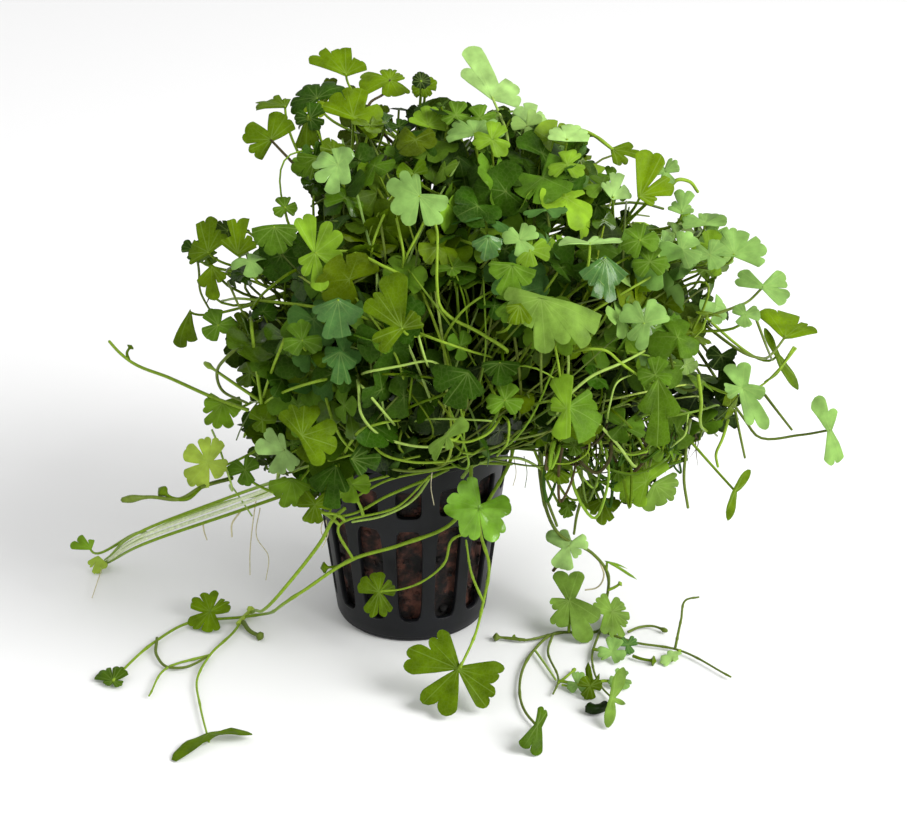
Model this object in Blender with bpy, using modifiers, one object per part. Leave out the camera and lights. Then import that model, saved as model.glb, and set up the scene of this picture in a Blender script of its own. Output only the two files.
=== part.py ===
"""A three-lobed pennywort grown in a slotted net pot, standing on a flat surface.

The pot is a tapered basket with a solid rim, a ring of short slots, a ring of long slots and
a solid floor. A plug of growing medium fills it. Shoots rise from the plug, fan out over the
rim and carry thin three-lobed leaves on long stalks. Runners hang over the rim and lie along
the surface that the pot stands on.

Metres, +Z up, with the origin at the middle of the pot's underside. The leaves of the front
are placed by where they show in a picture taken from the front and a little above, so the
viewpoint is part of the construction. The leaves of the back follow a spiral over the mound.
"""

import math
from dataclasses import dataclass

import bmesh
import bpy
from mathutils import Matrix, Vector
from mathutils.bvhtree import BVHTree

MM = 0.001
GAP = 0.3 * MM
GOLDEN_ANGLE = math.radians(137.508)

# Net pot
POT_HEIGHT = 49.0 * MM
POT_BASE_RADIUS = 17.6 * MM
POT_TOP_RADIUS = 23.6 * MM
POT_WALL = 1.3 * MM
POT_FLOOR = 1.6 * MM
POT_CHAMFER = 1.2 * MM
POT_SIDES = 28
RIM_RADIUS = 25.4 * MM
RIM_HEIGHT = 2.0 * MM
EDGE_HEIGHT = 4.6 * MM
SLOT_COUNT = 14
LONG_SLOT_BOTTOM = 7.0 * MM
LONG_SLOT_TOP = 31.0 * MM
SHORT_SLOT_BOTTOM = 34.5 * MM
SHORT_SLOT_TOP = 41.5 * MM
LONG_SLOT_WIDTH = 4.4 * MM
SHORT_SLOT_WIDTH = 5.0 * MM
CUTTER_DEPTH = 12.0 * MM

# Growing medium
MEDIUM_TOP = 44.5 * MM
MEDIUM_RINGS = 8
MEDIUM_SIDES = 18
MEDIUM_LUMP = 1.0 * MM

# Shoots
SHOOT_COUNT = 22
STEM_RADIUS = 0.8 * MM
STALK_RADIUS = 0.5 * MM
ROOT_SPREAD = 15.0 * MM
STEM_POINTS = 6
STEM_STEEPEST = math.radians(84)
STEM_FALL = math.radians(104)
STEM_REACH = 0.56
STEM_RISE = 17.0 * MM
STEM_FLARE = 3.0 * MM
STEM_BOW = 4.0 * MM
STALK_BOW = 0.12
STALK_STEP = 3.0 * MM
WELD_DISTANCE = 0.02 * MM
JOINT_SPREAD = 0.3 * MM
STEMS_TRIED = 5

# Runners: how far out and how high, in mm, each passes on its way over the rim
RIM_CROSSING = ((17.5, 44.8), (19.5, 54.0), (24.0, 56.0), (28.5, 52.5))

# Blades
BLADE_THICKNESS = 0.8 * MM
LOBE_HALF_ANGLE = math.radians(28)
LOBE_SHARE = 0.42
LOBE_LIMIT = 13.0 * MM
NOTCH_SHARE = 0.32
CLOSED_RADIUS = 1.3 * MM
REST_HEIGHT = 1.0 * MM
BLADE_CLEARANCE = 0.3 * MM

# Leaves of the back, on a spiral from the top of the mound (1) down to its skirt
BACK_LEAVES = 60
BACK_FALL = 1.45
BACK_REACH = 0.93
BACK_REACH_CHANGE = 0.08
BACK_LOBE = 7.6 * MM
BACK_LOBE_CHANGE = 1.6 * MM
SIDE_LOBE_TURN = math.radians(113)
SIDE_LOBE_SHARE = 0.92

# The mound of leaves, as an ellipsoid round its middle
MOUND_CENTRE = Vector((17.0, 0.0, 84.0)) * MM
MOUND_RADII = Vector((68.0, 60.0, 46.0)) * MM

# The viewpoint: where the eye is, how far it looks down, and its focal length in pixels of the
# 909 by 831 picture that the leaves' places are given in
EYE = Vector((10.2, -444.0, 260.7)) * MM
LOOK_DOWN = math.radians(25.4)
FOCAL_PIXELS = 2146.0
PICTURE_MIDDLE = (454.5, 415.5)

FORWARD = Vector((0.0, math.cos(LOOK_DOWN), -math.sin(LOOK_DOWN)))
UPWARD = Vector((0.0, math.sin(LOOK_DOWN), math.cos(LOOK_DOWN)))
RIGHTWARD = Vector((1.0, 0.0, 0.0))


@dataclass
class Leaf:
    """One leaf: where its stalk meets the blade, its lobe tips, and how the blade is turned.

    at and tips are places in the picture. lean tips the top of the blade away from the eye,
    swing turns it to the right, both in degrees. deep is how far behind the front of the mound
    it lies, in mm. ahead puts it that far in front of the pot's axis instead, and rests stands
    its lowest tip on the surface. via are places that the stalk passes on its way to the stem.
    """

    name: str
    at: tuple
    tips: tuple
    lean: float
    swing: float
    deep: float = 0.0
    ahead: float | None = None
    rests: bool = False
    via: tuple = ()


@dataclass
class Runner:
    """One runner: the bearing where it crosses the rim, its stops, and its branches' stops.

    A stop is a place in the picture and how many mm in front of the pot's axis it lies, or None
    where it lies on the surface. A branch starts on a stop of the trunk or of another branch.
    """

    name: str
    bearing: float
    trunk: tuple
    branches: tuple = ()


@dataclass
class Blade:
    """A placed blade: its frame, and the turn and length of each lobe in that frame."""

    origin: Vector
    across: Vector
    along: Vector
    normal: Vector
    lobes: list

    def point(self, turn, radius):
        """The point of the blade's plane at a turn and a distance from the stalk."""
        return self.origin + (self.across * math.cos(turn) + self.along * math.sin(turn)) * radius


LEAVES = (
    Leaf("crown_peak", (348, 73), ((313, 51), (340, 44), (364, 63)), 25, 0, 4),
    Leaf("crown_rim", (391, 81), ((357, 70), (389, 68), (403, 98)), 55, 10, 2,
         via=((388, 88), (370, 103))),
    Leaf("crown_mid", (352, 118), ((331, 97), (352, 86), (384, 103), (352, 130)), 25, 0, -3),
    Leaf("crown_dark", (322, 98), ((291, 97), (308, 76), (342, 82)), 50, -10, 6),
    Leaf("far_left_high", (283, 106), ((253, 101), (272, 95), (286, 99)), 55, 0, 0),
    Leaf("far_left", (272, 140), ((279, 113), (242, 128), (247, 156)), 15, -10, -4, via=((292, 162),)),
    Leaf("pale_upper_left", (342, 167), ((322, 160), (347, 153), (361, 167), (341, 190)), 30, 0, 0),
    Leaf("dark_crown_right", (424, 92), ((411, 84), (426, 71), (437, 88)), 15, 0, 5),
    Leaf("centre_pale", (420, 200), ((396, 170), (386, 217), (456, 213)), 12, 0, -6,
         via=((437, 229), (438, 285))),
    Leaf("peak_pale", (492, 97), ((466, 44), (521, 88), (462, 74)), 30, 0, 2, via=((507, 135),)),
    Leaf("peak_right", (528, 122), ((516, 107), (531, 101), (547, 117)), 40, 0, 5),
    Leaf("crown_grey", (475, 133), ((446, 126), (477, 118), (504, 128)), 45, 0, 0),
    Leaf("ridge_pale", (567, 139), ((550, 131), (572, 121), (590, 134)), 40, 0, 3),
    Leaf("ridge_lobe", (613, 149), ((641, 158), (632, 147), (622, 166)), 40, 20, 3, via=((595, 136),)),
    Leaf("ridge_upright", (640, 196), ((650, 149), (677, 181), (657, 200)), 10, 10, 0),
    Leaf("ridge_yellow", (613, 197), ((604, 182), (618, 170), (631, 190)), 20, 0, 4),
    Leaf("shoulder", (682, 212), ((669, 204), (685, 190), (694, 208)), 30, 0, 4),
    Leaf("flat_middle", (590, 243), ((556, 242), (624, 242), (600, 237)), 72, 0, -6),
    Leaf("shoulder_pale", (705, 224), ((681, 219), (710, 209), (728, 221)), 50, 0, 2),
    Leaf("right_pale", (734, 256), ((703, 240), (735, 226), (767, 257)), 30, 10, -2),
    Leaf("right_three", (763, 287), ((737, 271), (788, 273), (792, 302)), 25, 15, 0,
         via=((750, 300), (735, 307))),
    Leaf("right_edge", (785, 335), ((764, 315), (789, 312), (814, 325)), 55, 0, 0,
         via=((772, 350), (755, 357))),
    Leaf("right_spoon", (771, 356), ((797, 391), (781, 389), (789, 370)), 20, 30, 3),
    Leaf("right_broad", (738, 392), ((726, 362), (721, 400), (772, 427)), 20, 15, -3),
    Leaf("far_right", (830, 431), ((812, 399), (834, 402), (834, 467)), 5, 35, 0,
         via=((800, 435), (757, 436), (742, 412))),
    Leaf("hanging_dark", (736, 492), ((749, 469), (731, 521), (742, 500)), 0, 50, 0,
         via=((716, 470), (700, 452))),
    Leaf("right_middle", (643, 322), ((623, 307), (661, 299), (641, 349)), 10, 0, -4),
    Leaf("four_lobed", (316, 254), ((304, 212), (349, 247), (297, 266), (322, 294)), 5, -5, -5,
         via=((350, 250), (385, 267))),
    Leaf("centre_upright", (397, 320), ((386, 270), (424, 311), (383, 352)), 5, -10, -4),
    Leaf("light_middle", (512, 266), ((489, 272), (508, 297), (534, 283)), 25, 0, -4),
    Leaf("folded_front", (560, 305), ((522, 327), (549, 347), (599, 320)), 15, 0, -6),
    Leaf("broad_bluish", (605, 262), ((584, 281), (604, 301), (624, 284)), 15, 10, -2),
    Leaf("shade_middle", (468, 373), ((430, 379), (452, 411), (479, 400)), 15, 0, 2),
    Leaf("narrow_pale", (447, 437), ((466, 418), (424, 459), (452, 447)), 10, -40, -5),
    Leaf("bright_low", (566, 408), ((556, 373), (604, 398), (583, 433), (555, 427)), 15, 0, -6,
         via=((590, 417), (636, 465))),
    Leaf("olive_low", (660, 384), ((646, 415), (660, 447), (675, 417)), 10, 10, -4),
    Leaf("bluish_left", (338, 302), ((315, 317), (336, 339), (360, 320)), 15, -5, -1),
    Leaf("left_high", (208, 250), ((204, 213), (224, 231), (187, 249)), 15, -25, 0),
    Leaf("left_wide", (274, 227), ((252, 241), (275, 254), (297, 236)), 15, -10, -1),
    Leaf("left_hanging", (212, 267), ((199, 287), (213, 300), (225, 281)), 5, -25, 2),
    Leaf("left_spoon", (190, 312), ((179, 347), (196, 342), (199, 322)), 0, -30, 0),
    Leaf("left_bright", (223, 403), ((202, 407), (219, 428), (239, 411)), 25, 0, -2),
    Leaf("left_yellow", (208, 462), ((184, 450), (190, 486), (224, 436), (229, 470)), 10, -10, -2),
    Leaf("left_bluish", (297, 441), ((252, 437), (274, 478), (290, 459)), 10, -10, -8),
    Leaf("left_olive", (304, 439), ((293, 399), (339, 428), (322, 462)), 10, 0, -13),
    Leaf("low_left", (292, 480), ((269, 492), (290, 507), (309, 494)), 20, 0, -4),
    Leaf("low_gap", (352, 459), ((366, 447), (382, 463), (365, 475)), 10, 0, -12),
    Leaf("pot_gloss", (478, 508), ((464, 478), (442, 506), (467, 538), (512, 504), (501, 536)),
         10, 0, ahead=34),
    Leaf("pot_small", (381, 591), ((357, 585), (386, 571), (379, 619)), 5, 0, ahead=25),
    Leaf("front_large", (460, 668), ((405, 648), (503, 686), (441, 718)), 10, 0, rests=True),
    Leaf("floor_left", (209, 612), ((200, 591), (231, 607), (199, 635)), 35, 0, rests=True),
    Leaf("floor_far_left", (113, 681), ((98, 668), (124, 668), (120, 688)), 40, 0, rests=True),
    Leaf("floor_edge", (209, 743), ((170, 762), (254, 738), (221, 749)), 62, -8, rests=True),
    Leaf("bundle_tip", (90, 553), ((70, 544), (88, 534), (93, 574)), 10, -10, rests=True),
    Leaf("trail_pale", (569, 549), ((552, 530), (591, 548), (560, 573)), 10, 0, ahead=8),
    Leaf("trail_middle", (570, 603), ((568, 577), (552, 632), (583, 643)), 15, 0, rests=True),
    Leaf("trail_yellow", (612, 612), ((592, 604), (628, 612), (609, 640)), 25, 20, rests=True),
    Leaf("trail_edge", (607, 562), ((638, 572), (625, 563), (620, 575)), 50, 0, ahead=6),
    Leaf("trail_end", (537, 727), ((546, 709), (524, 752), (538, 759)), 10, 40, rests=True),
    Leaf("trail_pointed", (611, 697), ((624, 669), (627, 705), (606, 730)), 15, 20, rests=True),
    Leaf("trail_bud", (672, 658), ((664, 652), (683, 655), (670, 668)), 40, 0, rests=True),
    Leaf("cluster_left", (636, 486), ((605, 492), (626, 467), (640, 512)), 15, 0, -3),
    Leaf("cluster_right", (666, 479), ((660, 450), (683, 488), (652, 506)), 10, 10, -6),
)


RUNNERS = (
    Runner(
        "runner_left",
        -62,
        (
            (455, 520, 27), (400, 545, 29), (353, 559, 30), (300, 593, 33), (243, 617, None),
            (188, 623, None), (156, 641, None), (125, 668, None), (113, 681, None),
        ),
        (
            ((243, 617, None), (236, 629, None), (210, 655, None), (197, 680, None), (200, 705, None),
             (209, 742, None)),
            ((210, 655, None), (167, 668, None), (149, 696, None)),
            ((353, 559, 30), (338, 528, 31), (400, 505, 31), (430, 475, 30)),
        ),
    ),
    Runner("runner_bundle", 176, ((270, 490, -5), (230, 501, -8), (150, 532, -14), (103, 564, None))),
    Runner(
        "runner_front",
        -38,
        ((480, 530, 26), (489, 565, 28), (483, 603, 29), (475, 635, 37), (460, 668, 44)),
        (
            ((481, 530, 26), (452, 540, 26), (445, 562, 26), (425, 580, 26), (397, 590, 25),
             (382, 591, 25)),
            ((484, 603, 29), (472, 575, 27), (466, 540, 26)),
        ),
    ),
    Runner(
        "runner_right",
        -8,
        (
            (540, 475, 11), (545, 505, 10), (560, 535, 8), (592, 553, 7), (608, 575, 5), (606, 603, 4),
            (600, 630, None), (553, 634, None), (535, 649, None), (520, 681, None), (526, 713, None),
            (538, 727, None),
        ),
        (
            ((600, 630, None), (633, 642, None), (675, 649, None), (731, 677, None)),
            ((675, 649, None), (681, 620, 20), (686, 600, 19), (699, 597, 19)),
            ((553, 634, None), (548, 650, None), (558, 683, None), (553, 694, None)),
            ((553, 634, None), (525, 640, None), (496, 637, None)),
            ((600, 630, None), (592, 660, None), (604, 690, None), (611, 697, None)),
        ),
    ),
)


def sight(u, v):
    """The direction from the eye through a place in the picture."""
    right = (u - PICTURE_MIDDLE[0]) / FOCAL_PIXELS
    up = (PICTURE_MIDDLE[1] - v) / FOCAL_PIXELS
    return (FORWARD + RIGHTWARD * right + UPWARD * up).normalized()


def meet_plane(place, point, normal):
    """Where the sight line of a place in the picture meets a plane."""
    line = sight(*place)
    return EYE + line * ((point - EYE).dot(normal) / line.dot(normal))


def ahead_of_axis(place, ahead):
    """The point of a sight line that lies so many mm in front of the pot's axis."""
    return meet_plane(place, Vector((0.0, -ahead * MM, 0.0)), Vector((0.0, 1.0, 0.0)))


def on_surface(place, height=REST_HEIGHT):
    """The point of a sight line at a height over the surface that the pot stands on."""
    return meet_plane(place, Vector((0.0, 0.0, height)), Vector((0.0, 0.0, 1.0)))


def on_mound(place, deep):
    """The point where a sight line enters the mound, or comes nearest to it, plus a depth."""
    line = sight(*place)
    start = EYE - MOUND_CENTRE
    p = Vector(start[k] / MOUND_RADII[k] for k in range(3))
    d = Vector(line[k] / MOUND_RADII[k] for k in range(3))
    half = -p.dot(d) / d.dot(d)
    inside = half * half - (p.dot(p) - 1.0) / d.dot(d)
    return EYE + line * (half - math.sqrt(max(inside, 0.0)) + deep)


def place_leaf(leaf):
    """Work out a leaf's blade, with its lowest corner just clear of the surface if it rests there."""
    blade = lay_blade(leaf, REST_HEIGHT)
    if not leaf.rests:
        return blade
    corners = [blade.point(turn, radius).z for turn, radius in blade_outline(blade.lobes)]
    lowest = min(corners) - BLADE_THICKNESS / 2.0
    return lay_blade(leaf, REST_HEIGHT + BLADE_CLEARANCE - lowest)


def lay_blade(leaf, height):
    """A leaf's blade from its places in the picture, with its lowest tip at a height if it rests."""
    towards = -sight(*leaf.at)
    side = Vector((0.0, 0.0, 1.0)).cross(towards).normalized()
    up = towards.cross(side)
    lean = math.radians(leaf.lean)
    swing = math.radians(leaf.swing)
    normal = up * math.sin(lean) + (towards * math.cos(swing) + side * math.sin(swing)) * math.cos(lean)
    if leaf.rests:
        lowest = max(leaf.tips, key=lambda tip: tip[1])
        origin = meet_plane(leaf.at, on_surface(lowest, height), normal)
    elif leaf.ahead is not None:
        origin = ahead_of_axis(leaf.at, leaf.ahead)
    else:
        origin = on_mound(leaf.at, leaf.deep * MM)
    across = (side - normal * side.dot(normal)).normalized()
    along = normal.cross(across)
    lobes = []
    for tip in leaf.tips:
        arm = meet_plane(tip, origin, normal) - origin
        length = min(arm.length, LOBE_LIMIT)
        lobes.append((math.atan2(arm.dot(along), arm.dot(across)), length))
    return Blade(origin, across, along, normal, sorted(lobes))


def even_lobes(roll, size):
    """Three lobes of a young leaf: the middle one, and a slightly shorter one to each side."""
    shares = ((0.0, 1.0), (SIDE_LOBE_TURN, SIDE_LOBE_SHARE), (-SIDE_LOBE_TURN, SIDE_LOBE_SHARE))
    return sorted((math.remainder(roll + turn, 2.0 * math.pi), size * share) for turn, share in shares)


def spiral_blade(index, count):
    """A blade of the back of the mound, on a spiral over its surface, or None on the front.

    Sines of the index make each leaf's reach, lean, size and turn differ from its neighbours'.
    """
    height = 1.0 - BACK_FALL * (index + 0.5) / count
    turn = index * GOLDEN_ANGLE
    level = math.sqrt(max(1.0 - height * height, 0.0))
    out = Vector((level * math.cos(turn), level * math.sin(turn), height))
    on_front = out.y < -0.12
    on_seen_top = out.y < 0.25 and out.z > 0.55
    if on_front or on_seen_top:
        return None
    reach = BACK_REACH + BACK_REACH_CHANGE * math.sin(5.1 * index)
    origin = MOUND_CENTRE + Vector(out[k] * MOUND_RADII[k] * reach for k in range(3))
    normal = (out * 0.75 + Vector((0.25 * math.sin(3.3 * index), 0.2, 0.5))).normalized()
    across = normal.orthogonal().normalized()
    along = normal.cross(across)
    size = BACK_LOBE + BACK_LOBE_CHANGE * math.sin(2.3 * index)
    return Blade(origin, across, along, normal, even_lobes(1.7 * index, size))


def stem_path(index):
    """The stem of one shoot: out of the medium, up, and over into the mound on a smooth bow."""
    turn = index * GOLDEN_ANGLE
    share = math.sqrt((index + 0.5) / SHOOT_COUNT)
    flat = Vector((math.cos(turn), math.sin(turn), 0.0))
    root = flat * (ROOT_SPREAD * share) + Vector((0.0, 0.0, MEDIUM_TOP + GAP))
    rise = STEM_STEEPEST - STEM_FALL * share
    end = MOUND_CENTRE + Vector((
        MOUND_RADII.x * STEM_REACH * math.cos(rise) * flat.x,
        MOUND_RADII.y * STEM_REACH * math.cos(rise) * flat.y,
        MOUND_RADII.z * STEM_REACH * math.sin(rise),
    ))
    first = root + Vector((0.0, 0.0, STEM_RISE)) + flat * (STEM_FLARE * share)
    second = end + Vector((0.0, 0.0, STEM_BOW)) - (end - root) * 0.3
    return [bezier((root, first, second, end), k / (STEM_POINTS - 1)) for k in range(STEM_POINTS)]


def bezier(corners, share):
    """A point of the cubic curve through four corners."""
    rest = 1.0 - share
    weights = (rest ** 3, 3 * rest * rest * share, 3 * rest * share * share, share ** 3)
    return sum((corner * weight for corner, weight in zip(corners, weights)), Vector((0.0, 0.0, 0.0)))


def over_rim(bearing):
    """The first points of a runner: out of the medium and over the rim, at a bearing."""
    angle = math.radians(bearing)
    flat = Vector((math.cos(angle), math.sin(angle), 0.0))
    return [flat * (out * MM) + Vector((0.0, 0.0, height * MM)) for out, height in RIM_CROSSING]


def route(stops):
    """The points of a runner's stops."""
    points = []
    for u, v, ahead in stops:
        points.append(on_surface((u, v)) if ahead is None else ahead_of_axis((u, v), ahead))
    return points


def clear_scene():
    """Remove every object that the file started with."""
    for thing in list(bpy.data.objects):
        bpy.data.objects.remove(thing, do_unlink=True)


def make_collection(name):
    """Add a collection to the scene."""
    collection = bpy.data.collections.new(name)
    bpy.context.scene.collection.children.link(collection)
    return collection


def make_material(name, colour, roughness):
    """A Principled material with one colour."""
    material = bpy.data.materials.new(name)
    material.use_nodes = True
    shader = material.node_tree.nodes["Principled BSDF"]
    shader.inputs["Base Color"].default_value = (*colour, 1.0)
    shader.inputs["Roughness"].default_value = roughness
    shader.inputs["Metallic"].default_value = 0.0
    material.diffuse_color = (*colour, 1.0)
    return material


def add_object(name, mesh, collection, material=None):
    """Link a mesh as an object."""
    thing = bpy.data.objects.new(name, mesh)
    collection.objects.link(thing)
    if material is not None:
        mesh.materials.clear()
        mesh.materials.append(material)
    return thing


def curve_mesh(name, curve, matrix):
    """The welded mesh of a curve, in world space."""
    thing = bpy.data.objects.new(name, curve)
    bpy.context.scene.collection.objects.link(thing)
    thing.matrix_world = matrix
    bpy.context.view_layer.update()
    evaluated = thing.evaluated_get(bpy.context.evaluated_depsgraph_get())
    mesh = bpy.data.meshes.new_from_object(evaluated)
    mesh.transform(matrix)
    bpy.data.objects.remove(thing, do_unlink=True)
    work = bmesh.new()
    work.from_mesh(mesh)
    bmesh.ops.remove_doubles(work, verts=work.verts, dist=1e-6)
    bmesh.ops.recalc_face_normals(work, faces=work.faces)
    work.to_mesh(mesh)
    work.free()
    return mesh


def ring_section(sides, radius):
    """A closed outline with a few sides, that a tube carries along its path."""
    curve = bpy.data.curves.new("section", "CURVE")
    curve.dimensions = "2D"
    curve.fill_mode = "NONE"
    spline = curve.splines.new("POLY")
    spline.points.add(sides - 1)
    for index, knot in enumerate(spline.points):
        turn = 2.0 * math.pi * index / sides
        knot.co = (radius * math.cos(turn), radius * math.sin(turn), 0.0, 1.0)
    spline.use_cyclic_u = True
    section = bpy.data.objects.new("section", curve)
    bpy.context.scene.collection.objects.link(section)
    return section


def tube_mesh(name, points, radius, sides=4):
    """A tube of a few sides along points, with closed ends."""
    curve = bpy.data.curves.new(name, "CURVE")
    curve.dimensions = "3D"
    section = ring_section(sides, radius)
    curve.bevel_mode = "OBJECT"
    curve.bevel_object = section
    curve.use_fill_caps = True
    spline = curve.splines.new("POLY")
    spline.points.add(len(points) - 1)
    for knot, point in zip(spline.points, points):
        knot.co = (*point, 1.0)
    mesh = curve_mesh(name, curve, Matrix.Identity(4))
    bpy.data.objects.remove(section, do_unlink=True)
    return mesh


def blade_outline(lobes):
    """The outline round a blade: two corners at each lobe's end, one point in each notch."""
    outline = []
    for index, (turn, length) in enumerate(lobes):
        following, next_length = lobes[(index + 1) % len(lobes)]
        before = lobes[index - 1][0]
        gap = (following - turn) % (2.0 * math.pi)
        gap_before = (turn - before) % (2.0 * math.pi)
        half = min(LOBE_HALF_ANGLE, LOBE_SHARE * min(gap, gap_before))
        outline.append((turn - half, length))
        outline.append((turn + half, length))
        notch = max(NOTCH_SHARE * min(length, next_length), CLOSED_RADIUS)
        outline.append((turn + gap / 2.0, notch))
    return outline


def blade_mesh(name, blade):
    """A thin flat plate in the outline of the leaf, from a filled curve."""
    curve = bpy.data.curves.new(name, "CURVE")
    curve.dimensions = "2D"
    curve.fill_mode = "BOTH"
    curve.extrude = BLADE_THICKNESS / 2.0
    spline = curve.splines.new("POLY")
    outline = blade_outline(blade.lobes)
    spline.points.add(len(outline) - 1)
    for knot, (turn, radius) in zip(spline.points, outline):
        knot.co = (radius * math.cos(turn), radius * math.sin(turn), 0.0, 1.0)
    spline.use_cyclic_u = True
    matrix = Matrix((blade.across, blade.along, blade.normal)).transposed().to_4x4()
    matrix.translation = blade.origin
    return curve_mesh(name, curve, matrix)


def tree_of(mesh):
    """A search tree over a mesh's faces."""
    return BVHTree.FromPolygons([v.co for v in mesh.vertices], [p.vertices for p in mesh.polygons])


@dataclass
class Shoot:
    """One shoot or runner: its stem's points, and the meshes and search trees joined to it."""

    name: str
    knots: list
    meshes: list
    trees: list

    def add(self, meshes):
        """Join meshes to the shoot."""
        self.meshes.extend(meshes)
        self.trees.extend(tree_of(mesh) for mesh in meshes)

    def clear_of(self, trees):
        """Whether none of some trees cuts this shoot."""
        return not any(own.overlap(other) for own in self.trees for other in trees)


def grow_shoots():
    """The bare stems of the shoots, and the runners with their branches."""
    shoots = []
    for runner in RUNNERS:
        trunk = over_rim(runner.bearing) + route(runner.trunk)
        shoot = Shoot(runner.name, trunk[3:], [], [])
        shoot.add([tube_mesh(f"{runner.name}_trunk", trunk, STEM_RADIUS)])
        for stops in runner.branches:
            branch = route(stops)
            shoot.add([tube_mesh(f"{runner.name}_branch", branch, STALK_RADIUS, 3)])
            shoot.knots.extend(branch)
        shoots.append(shoot)
    for index in range(SHOOT_COUNT):
        path = stem_path(index)
        shoot = Shoot(f"shoot_{index + 1:02d}", path[2:], [], [])
        shoot.add([tube_mesh(f"{shoot.name}_stem", path, STEM_RADIUS)])
        if all(other.clear_of(shoot.trees) for other in shoots):
            shoots.append(shoot)
        else:
            print("stem left out", shoot.name)
    return shoots


def stalk_path(blade, via, knot):
    """A leaf's stalk, from the blade back to a knot of the stem, on a slight bow."""
    start = blade.origin
    if via:
        return [start, *via, knot]
    middle = (start + knot) / 2.0 - blade.normal * (STALK_BOW * (start - knot).length)
    return [start, middle, knot]


def add_leaf(shoots, blade, via, name):
    """Join a leaf to the nearest shoot that it can reach without cutting another, if there is one."""
    plate = blade_mesh(name, blade)
    plate_tree = tree_of(plate)
    last = via[-1] if via else blade.origin
    nearest = sorted(shoots, key=lambda shoot: min((knot - last).length for knot in shoot.knots))
    for shoot in nearest[:STEMS_TRIED]:
        knot = min(shoot.knots, key=lambda k: (k - last).length)
        turn = GOLDEN_ANGLE * len(shoot.meshes)
        foot = knot + Vector((math.cos(turn), math.sin(turn), math.sin(2.0 * turn))) * JOINT_SPREAD
        stalk = tube_mesh(f"{name}_stalk", stalk_path(blade, via, foot), STALK_RADIUS, 3)
        trees = [plate_tree, tree_of(stalk)]
        if all(other.clear_of(trees) for other in shoots if other is not shoot):
            shoot.add([plate, stalk])
            return
    print("leaf left out", name)


def join_shoot(shoot, collection, material):
    """One solid from a shoot's tubes and plates, by a Boolean union."""
    scene = bpy.context.scene.collection
    pieces = bpy.data.collections.new(f"{shoot.name}_pieces")
    scene.children.link(pieces)
    body = add_object(shoot.name, shoot.meshes[0], scene)
    for mesh in shoot.meshes[1:]:
        add_object(mesh.name, mesh, pieces)
    union = body.modifiers.new("join", "BOOLEAN")
    union.operation = "UNION"
    union.solver = "EXACT"
    union.operand_type = "COLLECTION"
    union.collection = pieces
    weld = body.modifiers.new("tidy", "WELD")
    weld.merge_threshold = WELD_DISTANCE
    bpy.context.view_layer.update()
    joined = bpy.data.meshes.new_from_object(body.evaluated_get(bpy.context.evaluated_depsgraph_get()))
    for piece in [body, *pieces.objects]:
        bpy.data.objects.remove(piece, do_unlink=True)
    bpy.data.collections.remove(pieces)
    keep_main_body(joined)
    return add_object(shoot.name, joined, collection, material)


def keep_main_body(mesh):
    """Drop the crumbs that a union leaves inside a joint: keep the piece with the most faces."""
    work = bmesh.new()
    work.from_mesh(mesh)
    left = set(work.faces)
    groups = []
    while left:
        group = {left.pop()}
        edge_of_group = list(group)
        while edge_of_group:
            face = edge_of_group.pop()
            near = {other for edge in face.edges for other in edge.link_faces if other in left}
            left -= near
            group |= near
            edge_of_group.extend(near)
        groups.append(group)
    main_group = max(groups, key=len)
    crumbs = [face for group in groups if group is not main_group for face in group]
    bmesh.ops.delete(work, geom=crumbs, context="FACES")
    work.to_mesh(mesh)
    work.free()


def turned_mesh(name, profile, sides):
    """A closed ring or bowl: a profile turned about the Z axis by a Screw modifier."""
    work = bmesh.new()
    corners = [work.verts.new((radius, 0.0, height)) for radius, height in profile]
    for first, second in zip(corners, corners[1:]):
        work.edges.new((first, second))
    mesh = bpy.data.meshes.new(name)
    work.to_mesh(mesh)
    work.free()
    thing = bpy.data.objects.new(name, mesh)
    bpy.context.scene.collection.objects.link(thing)
    screw = thing.modifiers.new("turn", "SCREW")
    screw.steps = sides
    screw.render_steps = sides
    screw.use_merge_vertices = True
    screw.merge_threshold = 1e-5
    bpy.context.view_layer.update()
    evaluated = thing.evaluated_get(bpy.context.evaluated_depsgraph_get())
    turned = bpy.data.meshes.new_from_object(evaluated)
    bpy.data.objects.remove(thing, do_unlink=True)
    return turned


def pot_profile():
    """The pot's section: out along the inner floor, up the inside, over the rim and down the outside."""
    slope = (POT_TOP_RADIUS - POT_BASE_RADIUS) / POT_HEIGHT
    inner_floor = POT_BASE_RADIUS + slope * POT_FLOOR - POT_WALL
    return [
        (0.0, POT_FLOOR),
        (inner_floor, POT_FLOOR),
        (POT_TOP_RADIUS - POT_WALL, POT_HEIGHT),
        (RIM_RADIUS, POT_HEIGHT),
        (RIM_RADIUS, POT_HEIGHT - RIM_HEIGHT),
        (POT_TOP_RADIUS - slope * RIM_HEIGHT, POT_HEIGHT - RIM_HEIGHT),
        (POT_BASE_RADIUS + slope * EDGE_HEIGHT, EDGE_HEIGHT),
        (POT_BASE_RADIUS, POT_CHAMFER),
        (POT_BASE_RADIUS - POT_CHAMFER, 0.0),
        (0.0, 0.0),
    ]


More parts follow.
